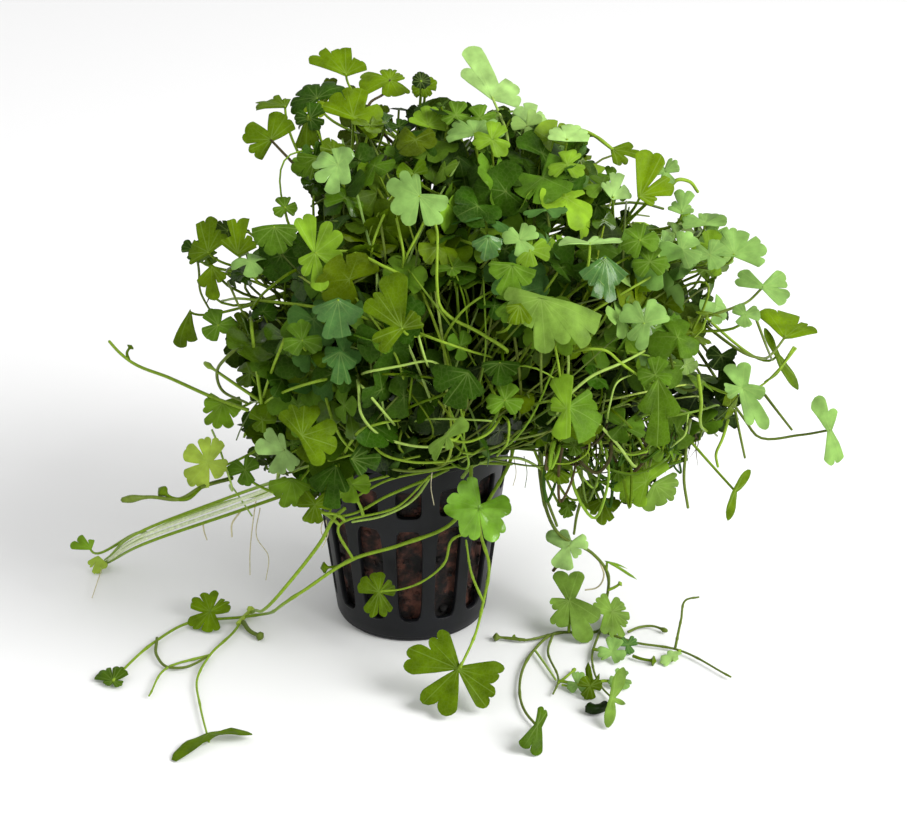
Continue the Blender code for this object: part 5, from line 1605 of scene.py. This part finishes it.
    def add_roots(self, count: int, seed: int) -> None:
        """Add hair-thin roots that hang from the mound's lower edge and taper to nothing.

        Args:
            count: how many.
            seed: picks the draws.
        """
        rng = np.random.default_rng(seed)
        start = np.stack([rng.uniform(545.0, 700.0, count), rng.uniform(428.0, 446.0, count)], axis=1)
        drop = np.stack([rng.normal(0.0, 5.0, count), rng.uniform(14.0, 40.0, count)], axis=1)
        bend = rng.normal(0.0, 4.0, start.shape)
        ahead = rng.uniform(4.0, 22.0, count)
        for number in range(count):
            stops = [start[number], start[number] + drop[number] * 0.5 + bend[number], start[number] + drop[number]]
            path = smooth_path(np.concatenate([VIEW.ahead(place, ahead[number]) for place in stops]), 14)
            self.add_strand(path, np.linspace(0.2, 0.03, 14), self.varied(Tone.BROWN, rng), 4)

    def build(self, materials: list[bpy.types.Material]) -> list[bpy.types.Object]:
        """Grow everything and make one piece for each node of the model.

        Args:
            materials: the finishes of the blades, of the stems and of the wet blades.

        Returns:
            The pieces.
        """
        self.knots = [growth.knots() for growth in self.growths]
        for growth in self.growths:
            growth.add_stems()
        self.add_read()
        for twig in TWIGS:
            self.add_twig(twig)
        front = self.add_thicket(18.0, (1.0, 13.0), (3.2, 7.6), False, 3)
        front += self.add_thicket(19.0, (18.0, 40.0), (4.6, 8.6), True, 4)
        back = self.add_back(300, (0.98, 0.4), (4.6, 8.4), 5)
        back += self.add_back(120, (0.7, 0.3), (4.6, 8.4), 6)
        self.add_wires(700, 7)
        self.add_inner_wires(100, 8)
        self.add_net(96, 9)
        self.add_roots(26, 10)
        LOG.info("leaves behind the read ones: %d, at the back: %d", front, back)
        pieces = []
        for growth in self.growths:
            piece = growth.sheaf.build(f"{growth.name}_foliage", materials)
            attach(piece, "root")
            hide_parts(growth.name)
            pieces.append(piece)
        return pieces


@dataclass
class NetPot:
    """The slotted pot: a tapered wall of cells round the slots, a rolled rim and a floor."""

    height: float = 49.0
    base_radius: float = 17.6
    top_radius: float = 23.6
    rim_radius: float = 25.4
    rim_height: float = 2.0
    wall: float = 1.3
    floor: float = 1.6
    chamfer: float = 1.2
    slots: int = 14
    long_slot: tuple[float, float] = (6.0, 31.0)
    short_slot: tuple[float, float] = (34.5, 41.5)
    long_width: float = 5.8
    short_width: float = 5.8
    round_points: int = 32

    def radius(self, height: np.ndarray) -> np.ndarray:
        """The outer radius of the wall at a height."""
        return self.base_radius + (self.top_radius - self.base_radius) * height / self.height

    def wrap(self, bearing: np.ndarray, height: np.ndarray) -> np.ndarray:
        """Points of the wall at bearings and heights."""
        radius = self.radius(height)
        return np.stack([radius * np.cos(bearing), radius * np.sin(bearing), height], axis=-1)

    def cell(self, bearing: float, low: float, high: float, slot: tuple[float, float],
             width: float) -> tuple[np.ndarray, np.ndarray]:
        """A cell of the wall round one slot.

        Args:
            bearing: the bearing of the slot's middle.
            low: the height of the cell's lower edge.
            high: the height of its upper edge.
            slot: the heights of the slot's lower and upper ends.
            width: the slot's width.

        Returns:
            Points and faces of rings that blend from the slot's edge, an oval of the sixth power,
            to the cell's edge, a rectangle, at the same turns.
        """
        turns = 2.0 * np.pi * np.arange(self.round_points) / self.round_points
        cos, sin = np.cos(turns), np.sin(turns)
        square = np.maximum(np.abs(cos), np.abs(sin))
        middle = (slot[0] + slot[1]) / 2.0
        half_width = width / 2.0 / self.radius(middle)
        half_cell = math.pi / self.slots
        oval = (np.abs(cos) ** 6 + np.abs(sin) ** 6) ** (1.0 / 6.0)
        hole = np.stack([cos / oval * half_width, middle + sin / oval * (slot[1] - slot[0]) / 2.0], axis=1)
        tall = np.where(sin > 0.0, high - middle, middle - low)
        edge = np.stack([cos / square * half_cell, middle + sin / square * tall], axis=1)
        share = np.array([0.0, 0.2, 0.55, 1.0])[:, None, None]
        rings = hole + (edge - hole) * share
        points = self.wrap(bearing + rings[..., 0], rings[..., 1])
        return points.reshape(-1, 3), grid_faces(4, self.round_points, True)[:, ::-1]

    def band(self, low: float, high: float, rows: int) -> tuple[np.ndarray, np.ndarray]:
        """A plain band of the wall, whose columns meet those of the cells."""
        tilt = np.tan(np.linspace(-np.pi / 4.0, np.pi / 4.0, self.round_points // 4 + 1))[:-1]
        bays = 2.0 * np.pi * (np.arange(self.slots) + 0.5) / self.slots
        bearings = (bays[:, None] + tilt[None] * math.pi / self.slots).ravel()
        heights = np.linspace(low, high, rows)
        points = self.wrap(bearings[None, :] + heights[:, None] * 0.0, heights[:, None] + bearings[None] * 0.0)
        return points.reshape(-1, 3), grid_faces(rows, len(bearings), True)

    def turned(self, profile: np.ndarray, sides: int) -> tuple[np.ndarray, list[np.ndarray]]:
        """A closed profile of radius and height, turned about the pot's axis."""
        turns = 2.0 * np.pi * np.arange(sides) / sides
        points = np.stack([profile[:, :1] * np.cos(turns), profile[:, :1] * np.sin(turns),
                           profile[:, 1:] + 0.0 * turns], axis=-1)
        faces = grid_faces(len(profile) + 1, sides, True) % (len(profile) * sides)
        return points.reshape(-1, 3), [faces]

    def build_wall(self, material: bpy.types.Material) -> bpy.types.Object:
        """The wall, thickened inwards and with softened edges."""
        split = (self.long_slot[1] + self.short_slot[0]) / 2.0
        sheaf = MeshSheaf()
        tone = np.zeros(3)
        for points, faces in (self.band(self.chamfer, 5.0, 3), self.band(43.0, self.height - 1.0, 3)):
            sheaf.add(points, [faces], tone)
        for index in range(self.slots):
            bearing = 2.0 * math.pi * (index + 0.5) / self.slots
            lower = self.cell(bearing, 5.0, split, self.long_slot, self.long_width)
            upper = self.cell(bearing, split, 43.0, self.short_slot, self.short_width)
            for points, faces in (lower, upper):
                sheaf.add(points, [faces], tone)
        wall = sheaf.build("pot_wall", [material], 40.0)
        merge_near(wall.data, 0.02 * MM)
        shell = wall.modifiers.new("wall", "SOLIDIFY")
        shell.thickness = self.wall * MM
        shell.offset = -1.0
        soften(wall, 0.22 * MM)
        return wall

    def build_rim(self, material: bpy.types.Material) -> bpy.types.Object:
        """The rim: a flat ring with rounded edges, as a superellipse turned about the axis."""
        inner = self.top_radius - self.wall
        turns = 2.0 * np.pi * np.arange(20) / 20
        middle = (inner + self.rim_radius) / 2.0
        half = (self.rim_radius - inner) / 2.0
        cos, sin = np.cos(turns), np.sin(turns)
        scale = (np.abs(cos) ** 5 + np.abs(sin) ** 5) ** (-0.2)
        profile = np.stack([middle + half * cos * scale,
                            self.height - self.rim_height / 2.0 + self.rim_height / 2.0 * sin * scale], axis=1)
        points, faces = self.turned(profile, 112)
        sheaf = MeshSheaf()
        sheaf.add(points, faces, np.zeros(3))
        return sheaf.build("pot_rim", [material])

    def build_floor(self, material: bpy.types.Material) -> bpy.types.Object:
        """The floor: a disc with a rounded foot, turned about the axis."""
        foot = self.base_radius - self.chamfer
        bow = np.linspace(-np.pi / 2.0, 0.0, 6)
        corner = np.stack([foot + self.chamfer * np.cos(bow), self.chamfer + self.chamfer * np.sin(bow)], axis=1)
        inner = self.base_radius - self.wall
        profile = np.concatenate([[[0.02, 0.0], [foot * 0.5, 0.0]], corner,
                                  [[inner + 0.9, self.floor], [inner * 0.5, self.floor], [0.02, self.floor]]])
        points, faces = self.turned(profile, 112)
        sheaf = MeshSheaf()
        sheaf.add(points, faces, np.zeros(3))
        return sheaf.build("pot_floor", [material], 50.0)

    def build(self, material: bpy.types.Material) -> list[bpy.types.Object]:
        """Make the pot's three pieces."""
        pieces = [self.build_wall(material), self.build_rim(material), self.build_floor(material)]
        for piece in pieces:
            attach(piece, "root")
            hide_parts("net_pot")
        return pieces


def merge_near(mesh: bpy.types.Mesh, distance: float) -> None:
    """Merge the points of a mesh that lie within a distance of each other."""
    work = bmesh.new()
    work.from_mesh(mesh)
    bmesh.ops.remove_doubles(work, verts=work.verts, dist=distance)
    work.to_mesh(mesh)
    work.free()


def soften(piece: bpy.types.Object, width: float) -> None:
    """Round a piece's sharp edges with a small bevel."""
    bevel = piece.modifiers.new("edges", "BEVEL")
    bevel.width = width
    bevel.segments = 2
    bevel.limit_method = "ANGLE"
    bevel.angle_limit = math.radians(45)


@dataclass
class GrowingMedium:
    """The plug of damp coir and clay: a lumpy column, with crumbs over its side and top."""

    top: float = 44.5
    bottom: float = 2.0
    clearance: float = 1.9
    lump: float = 1.1
    crumbs: int = 900
    crumb_size: tuple[float, float] = (0.5, 1.5)

    def build(self, pot: NetPot, material: bpy.types.Material) -> list[bpy.types.Object]:
        """Make the column and its crumbs."""
        pieces = [self.build_column(pot, material), self.build_crumbs(pot, material)]
        for piece in pieces:
            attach(piece, "root")
            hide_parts("growing_medium")
        return pieces

    def build_column(self, pot: NetPot, material: bpy.types.Material) -> bpy.types.Object:
        """The column: radius by height as the pot's, less three sizes of noise, closed by poles."""
        turns = np.linspace(0.0, 2.0 * np.pi, 160, endpoint=False)[None, :]
        heights = np.linspace(self.bottom, self.top, 90)[:, None]
        edge = pot.radius(heights) - self.clearance
        flat = np.stack([edge * np.cos(turns), edge * np.sin(turns), heights + 0.0 * turns], axis=-1)
        dent = self.lump * (0.7 + 0.5 * lattice_noise(flat, 4.0, 1) + 0.3 * lattice_noise(flat, 1.7, 2)
                            + 0.2 * lattice_noise(flat, 0.8, 3))
        side = flat * np.array([1.0, 1.0, 0.0]) * (1.0 - dent / edge)[..., None] + flat * np.array([0.0, 0.0, 1.0])
        shares = np.linspace(0.92, 0.08, 12)[:, None, None]
        crown = side[-1][None] * np.array([1.0, 1.0, 0.0]) * shares + np.array([0.0, 0.0, self.top])
        crown[..., 2] += 0.7 * lattice_noise(crown, 2.5, 4)
        base = side[0][None] * np.array([1.0, 1.0, 0.0]) * np.array([[[0.5]]]) + np.array([0.0, 0.0, self.bottom])
        rows = np.concatenate([base, side, crown])
        count, columns = rows.shape[:2]
        poles = np.array([[0.0, 0.0, self.bottom], [0.0, 0.0, self.top]])
        points = np.concatenate([rows.reshape(-1, 3), poles])
        column = np.arange(columns)
        following = (column + 1) % columns
        last = (count - 1) * columns
        bottom_fan = np.stack([following, column, np.full(columns, count * columns)], axis=1)
        top_fan = np.stack([last + column, last + following, np.full(columns, count * columns + 1)], axis=1)
        sheaf = MeshSheaf()
        sheaf.add(points, [grid_faces(count, columns, True), bottom_fan, top_fan], np.ones(3))
        return sheaf.build("medium_column", [material], 180.0)

    def build_crumbs(self, pot: NetPot, material: bpy.types.Material) -> bpy.types.Object:
        """Crumbs: twenty-sided lumps, pulled out of round by noise, on the column's side and top."""
        rng = np.random.default_rng(11)
        count = self.crumbs
        turn = np.arange(count) * GOLDEN_ANGLE
        height = rng.uniform(self.bottom + 1.0, self.top, count)
        radius = pot.radius(height) - self.clearance - rng.uniform(0.5, 1.6, count)
        on_top = np.arange(count) % 4 == 0
        radius = np.where(on_top, np.sqrt(rng.uniform(0.0, 0.9, count)) * radius, radius)
        height = np.where(on_top, self.top, height)
        middles = np.stack([radius * np.cos(turn), radius * np.sin(turn), height], axis=1)
        golden = (1.0 + math.sqrt(5.0)) / 2.0
        corners = np.array([(a, b * golden, 0) for a in (-1, 1) for b in (-1, 1)]
                           + [(0, a, b * golden) for a in (-1, 1) for b in (-1, 1)]
                           + [(b * golden, 0, a) for a in (-1, 1) for b in (-1, 1)], float)
        corners = unit(corners)
        gaps = np.linalg.norm(corners[:, None] - corners[None], axis=-1)
        near = (gaps > 0.1) & (gaps < 1.2)
        triples = np.array([(a, b, c) for a in range(12) for b in range(a + 1, 12) for c in range(b + 1, 12)
                            if near[a, b] and near[b, c] and near[a, c]])
        cross = np.cross(corners[triples[:, 1]] - corners[triples[:, 0]], corners[triples[:, 2]] - corners[triples[:, 0]])
        inward = (cross * corners[triples[:, 0]]).sum(axis=1) < 0.0
        triples[inward] = triples[inward][:, ::-1]
        size = rng.uniform(*self.crumb_size, count)[:, None, None] * 0.6
        pull = rng.uniform(0.6, 1.3, (count, 12, 1)) * rng.uniform(0.7, 1.3, (count, 1, 3))
        points = middles[:, None] + corners[None] * size * pull
        faces = (triples[None] + (np.arange(count) * 12)[:, None, None]).reshape(-1, 3)
        sheaf = MeshSheaf()
        sheaf.add(points.reshape(-1, 3), [faces], np.ones(3))
        return sheaf.build("medium_crumbs", [material], 180.0)


def add_node(tree: bpy.types.NodeTree, kind: str, inputs: dict | None = None, **settings: object) -> bpy.types.Node:
    """Add a node with its settings, and with its sockets set or linked.

    Args:
        tree: the material's tree.
        kind: the node's type.
        inputs: by socket, a value to set or an output socket to link.
        settings: the node's own settings.

    Returns:
        The node.
    """
    node = tree.nodes.new(kind)
    for name, value in settings.items():
        setattr(node, name, value)
    for name, value in (inputs or {}).items():
        if isinstance(value, bpy.types.NodeSocket):
            tree.links.new(value, node.inputs[name])
        else:
            node.inputs[name].default_value = value
    return node


def new_material(name: str) -> tuple[bpy.types.Material, bpy.types.NodeTree, bpy.types.Node]:
    """An empty material, its tree and its output."""
    material = bpy.data.materials.new(name)
    material.use_nodes = True
    tree = material.node_tree
    tree.nodes.clear()
    return material, tree, add_node(tree, "ShaderNodeOutputMaterial")


@dataclass(frozen=True)
class LeafBlade:
    """Fresh leaf tissue: a waxy skin over soft green, lit through from behind.

    The skin gives a satin gloss, and under a film of water a sharp one. The thin blade glows
    yellow-green against the light, the ribs show paler and a fine network of veins dents it.
    """

    name: str = "leaf_blade"
    specular: float = 0.08
    rib_width: float = 0.2
    rib_pale: str = "#b4d070"
    under_pale: str = "#8fb262"
    through: str = "#9cc81e"
    network: float = 0.9
    mottle: float = 3.0
    roughness: tuple[float, float] = (0.34, 0.56)
    see_through: float = 0.3

    def build(self) -> bpy.types.Material:
        """Make the material."""
        material, tree, output = new_material(self.name)
        tone = add_node(tree, "ShaderNodeAttribute", attribute_name="tone").outputs["Color"]
        rib = add_node(tree, "ShaderNodeAttribute", attribute_name="rib").outputs["Fac"]
        side = add_node(tree, "ShaderNodeAttribute", attribute_name="side").outputs["Fac"]
        place = add_node(tree, "ShaderNodeTexCoord").outputs["Object"]
        ribs = add_node(tree, "ShaderNodeMapRange", {
            "Value": rib, "From Min": 0.0, "From Max": self.rib_width, "To Min": 1.0, "To Max": 0.0,
        }, interpolation_type="SMOOTHSTEP").outputs["Result"]
        cells = add_node(tree, "ShaderNodeTexVoronoi", {
            "Vector": place, "Scale": 1.0 / (self.network * MM),
        }, feature="DISTANCE_TO_EDGE").outputs["Distance"]
        net = add_node(tree, "ShaderNodeMapRange", {
            "Value": cells, "From Min": 0.0, "From Max": 0.12, "To Min": 1.0, "To Max": 0.0,
        }).outputs["Result"]
        cloud = add_node(tree, "ShaderNodeTexNoise", {
            "Vector": place, "Scale": 1.0 / (self.mottle * MM), "Detail": 3.0,
        }).outputs["Fac"]
        value = add_node(tree, "ShaderNodeMapRange", {
            "Value": cloud, "From Min": 0.3, "From Max": 0.7, "To Min": 0.76, "To Max": 1.24,
        }).outputs["Result"]
        mottled = add_node(tree, "ShaderNodeHueSaturation", {"Color": tone, "Value": value}).outputs["Color"]
        netted = add_node(tree, "ShaderNodeMath", {0: net, 1: 0.05}, operation="MULTIPLY").outputs[0]
        ribbed = add_node(tree, "ShaderNodeMath", {0: ribs, 1: 0.2}, operation="MULTIPLY").outputs[0]
        lines = add_node(tree, "ShaderNodeMath", {0: netted, 1: ribbed}, operation="MAXIMUM").outputs[0]
        veined = add_node(tree, "ShaderNodeMix", {
            "Factor": lines, 6: mottled, 7: (*linear(self.rib_pale), 1.0),
        }, data_type="RGBA").outputs[2]
        beneath = add_node(tree, "ShaderNodeMapRange", {
            "Value": side, "From Min": 0.0, "From Max": 1.0, "To Min": 0.35, "To Max": 0.0,
        }).outputs["Result"]
        skin = add_node(tree, "ShaderNodeMix", {
            "Factor": beneath, 6: veined, 7: (*linear(self.under_pale), 1.0),
        }, data_type="RGBA").outputs[2]
        rough = add_node(tree, "ShaderNodeMapRange", {
            "Value": cloud, "From Min": 0.3, "From Max": 0.7, "To Min": self.roughness[0], "To Max": self.roughness[1],
        }).outputs["Result"]
        height = add_node(tree, "ShaderNodeMath", {0: lines, 1: cloud}, operation="SUBTRACT").outputs[0]
        dents = add_node(tree, "ShaderNodeBump", {"Height": height, "Strength": 0.35, "Distance": 0.25 * MM}).outputs[0]
        shader = add_node(tree, "ShaderNodeBsdfPrincipled", {
            "Base Color": skin, "Roughness": rough, "Normal": dents, "IOR": 1.42, "Specular IOR Level": self.specular,
        }).outputs[0]
        glow = add_node(tree, "ShaderNodeMix", {
            "Factor": 0.3, 6: skin, 7: (*linear(self.through), 1.0),
        }, data_type="RGBA").outputs[2]
        light = add_node(tree, "ShaderNodeBsdfTranslucent", {"Color": glow}).outputs[0]
        both = add_node(tree, "ShaderNodeMixShader", {0: self.see_through, 1: shader, 2: light}).outputs[0]
        tree.links.new(both, output.inputs["Surface"])
        return material


@dataclass(frozen=True)
class StemSkin:
    """Fresh stalks and runners: smooth watery skin with fine streaks, slightly lit through."""

    streak: float = 0.7
    roughness: float = 0.38
    see_through: float = 0.15

    def build(self) -> bpy.types.Material:
        """Make the material."""
        material, tree, output = new_material("stem_skin")
        tone = add_node(tree, "ShaderNodeAttribute", attribute_name="tone").outputs["Color"]
        place = add_node(tree, "ShaderNodeTexCoord").outputs["Object"]
        streaks = add_node(tree, "ShaderNodeTexNoise", {
            "Vector": place, "Scale": 1.0 / (self.streak * MM), "Detail": 2.0,
        }).outputs["Fac"]
        value = add_node(tree, "ShaderNodeMapRange", {
            "Value": streaks, "From Min": 0.3, "From Max": 0.7, "To Min": 0.85, "To Max": 1.15,
        }).outputs["Result"]
        skin = add_node(tree, "ShaderNodeHueSaturation", {"Color": tone, "Value": value}).outputs["Color"]
        dents = add_node(tree, "ShaderNodeBump", {"Height": streaks, "Strength": 0.2, "Distance": 0.1 * MM}).outputs[0]
        shader = add_node(tree, "ShaderNodeBsdfPrincipled", {
            "Base Color": skin, "Roughness": self.roughness, "Normal": dents, "IOR": 1.42, "Specular IOR Level": 0.15,
        }).outputs[0]
        light = add_node(tree, "ShaderNodeBsdfTranslucent", {"Color": skin}).outputs[0]
        both = add_node(tree, "ShaderNodeMixShader", {0: self.see_through, 1: shader, 2: light}).outputs[0]
        tree.links.new(both, output.inputs["Surface"])
        return material


@dataclass(frozen=True)
class MouldedPolypropylene:
    """Injection-moulded black polypropylene: deep grey-black, a soft sheen and fine mould grain."""

    base: str = "#090a0d"
    dusty: str = "#14161a"
    grain: float = 0.35
    cloud: float = 7.0
    roughness: tuple[float, float] = (0.34, 0.52)

    def build(self) -> bpy.types.Material:
        """Make the material."""
        material, tree, output = new_material("moulded_polypropylene")
        place = add_node(tree, "ShaderNodeTexCoord").outputs["Object"]
        cloud = add_node(tree, "ShaderNodeTexNoise", {
            "Vector": place, "Scale": 1.0 / (self.cloud * MM), "Detail": 4.0,
        }).outputs["Fac"]
        grain = add_node(tree, "ShaderNodeTexNoise", {
            "Vector": place, "Scale": 1.0 / (self.grain * MM), "Detail": 2.0,
        }).outputs["Fac"]
        dust = add_node(tree, "ShaderNodeMapRange", {
            "Value": cloud, "From Min": 0.45, "From Max": 0.75, "To Min": 0.0, "To Max": 1.0,
        }).outputs["Result"]
        colour = add_node(tree, "ShaderNodeMix", {
            "Factor": dust, 6: (*linear(self.base), 1.0), 7: (*linear(self.dusty), 1.0),
        }, data_type="RGBA").outputs[2]
        rough = add_node(tree, "ShaderNodeMapRange", {
            "Value": cloud, "From Min": 0.3, "From Max": 0.7, "To Min": self.roughness[0], "To Max": self.roughness[1],
        }).outputs["Result"]
        dents = add_node(tree, "ShaderNodeBump", {"Height": grain, "Strength": 0.15, "Distance": 0.05 * MM}).outputs[0]
        shader = add_node(tree, "ShaderNodeBsdfPrincipled", {
            "Base Color": colour, "Roughness": rough, "Normal": dents, "IOR": 1.49, "Specular IOR Level": 0.25,
        }).outputs[0]
        tree.links.new(shader, output.inputs["Surface"])
        return material


@dataclass(frozen=True)
class DampCoir:
    """Damp coconut coir and fired clay: reddish-brown crumbs, dark where wet, with no gloss."""

    dark: str = "#0c0908"
    base: str = "#2c1a14"
    light: str = "#583428"
    crumb: float = 1.6
    clod: float = 5.0
    roughness: float = 0.92

    def build(self) -> bpy.types.Material:
        """Make the material."""
        material, tree, output = new_material("damp_coir")
        place = add_node(tree, "ShaderNodeTexCoord").outputs["Object"]
        crumbs = add_node(tree, "ShaderNodeTexNoise", {
            "Vector": place, "Scale": 1.0 / (self.crumb * MM), "Detail": 6.0, "Roughness": 0.65,
        }).outputs["Fac"]
        clods = add_node(tree, "ShaderNodeTexNoise", {
            "Vector": place, "Scale": 1.0 / (self.clod * MM), "Detail": 1.0,
        }).outputs["Fac"]
        mixed = add_node(tree, "ShaderNodeMath", {0: clods, 1: 1.5, 2: -0.75}, operation="MULTIPLY_ADD").outputs[0]
        shade = add_node(tree, "ShaderNodeMath", {0: crumbs, 1: mixed}, operation="ADD").outputs[0]
        ramp = add_node(tree, "ShaderNodeValToRGB", {"Fac": shade})
        stops = ramp.color_ramp.elements
        stops[0].position, stops[0].color = 0.32, (*linear(self.dark), 1.0)
        stops[1].position, stops[1].color = 0.72, (*linear(self.light), 1.0)
        middle = stops.new(0.5)
        middle.color = (*linear(self.base), 1.0)
        dents = add_node(tree, "ShaderNodeBump", {"Height": crumbs, "Strength": 0.7, "Distance": 0.4 * MM}).outputs[0]
        shader = add_node(tree, "ShaderNodeBsdfPrincipled", {
            "Base Color": ramp.outputs["Color"], "Roughness": self.roughness, "Normal": dents,
        }).outputs[0]
        tree.links.new(shader, output.inputs["Surface"])
        return material


@dataclass(frozen=True)
class Studio:
    """A plain pale floor, white all-round light, and a large soft light from the upper right."""

    floor_colour: str = "#eeeeee"
    floor_half: float = 4.0
    sky: float = 0.85
    key_place: tuple[float, float, float] = (0.72, -0.44, 0.66)
    key_size: float = 0.6
    key_power: float = 13.0

    def build(self) -> None:
        """Make the floor, the world and the light."""
        scene = bpy.context.scene
        scene.view_settings.view_transform = "Standard"
        world = bpy.data.worlds.new("white_room")
        world.use_nodes = True
        sky = world.node_tree.nodes["Background"]
        sky.inputs["Color"].default_value = (1.0, 1.0, 1.0, 1.0)
        sky.inputs["Strength"].default_value = self.sky
        scene.world = world
        material, tree, output = new_material("paper_floor")
        shader = add_node(tree, "ShaderNodeBsdfPrincipled", {
            "Base Color": (*linear(self.floor_colour), 1.0), "Roughness": 0.9,
        }).outputs[0]
        tree.links.new(shader, output.inputs["Surface"])
        sheaf = MeshSheaf()
        half = self.floor_half / MM
        steps = np.linspace(-half, half, 5)
        x, y = np.meshgrid(steps, steps)
        points = np.stack([x.ravel(), y.ravel(), np.zeros(x.size)], axis=1)
        sheaf.add(points, [grid_faces(5, 5, False)], np.ones(3))
        sheaf.build("floor", [material])
        lamp = bpy.data.lights.new("key", "AREA")
        lamp.size = self.key_size
        lamp.energy = self.key_power
        key = bpy.data.objects.new("key", lamp)
        key.location = self.key_place
        aim = np.array([0.0, 0.0, 0.06]) - np.array(self.key_place)
        flat = math.hypot(aim[0], aim[1])
        key.rotation_euler = (math.atan2(flat, -aim[2]), 0.0, math.atan2(aim[1], aim[0]) - math.pi / 2.0)
        scene.collection.objects.link(key)


def main() -> None:
    """Build the pot, the medium and the plant, and report each piece."""
    logging.basicConfig(level=logging.INFO, format="%(name)s: %(message)s")
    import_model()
    VIEW.camera()
    Studio().build()
    pot = NetPot()
    pieces = pot.build(MouldedPolypropylene().build())
    pieces += GrowingMedium().build(pot, DampCoir().build())
    wet_blade = LeafBlade("wet_leaf_blade", 0.45, roughness=(0.1, 0.26))
    pieces += Plant().build([LeafBlade().build(), StemSkin().build(), wet_blade.build()])
    for piece in pieces:
        LOG.info("%s: %d faces", piece.name, len(piece.data.polygons))


if __name__ == "__main__":
    main()
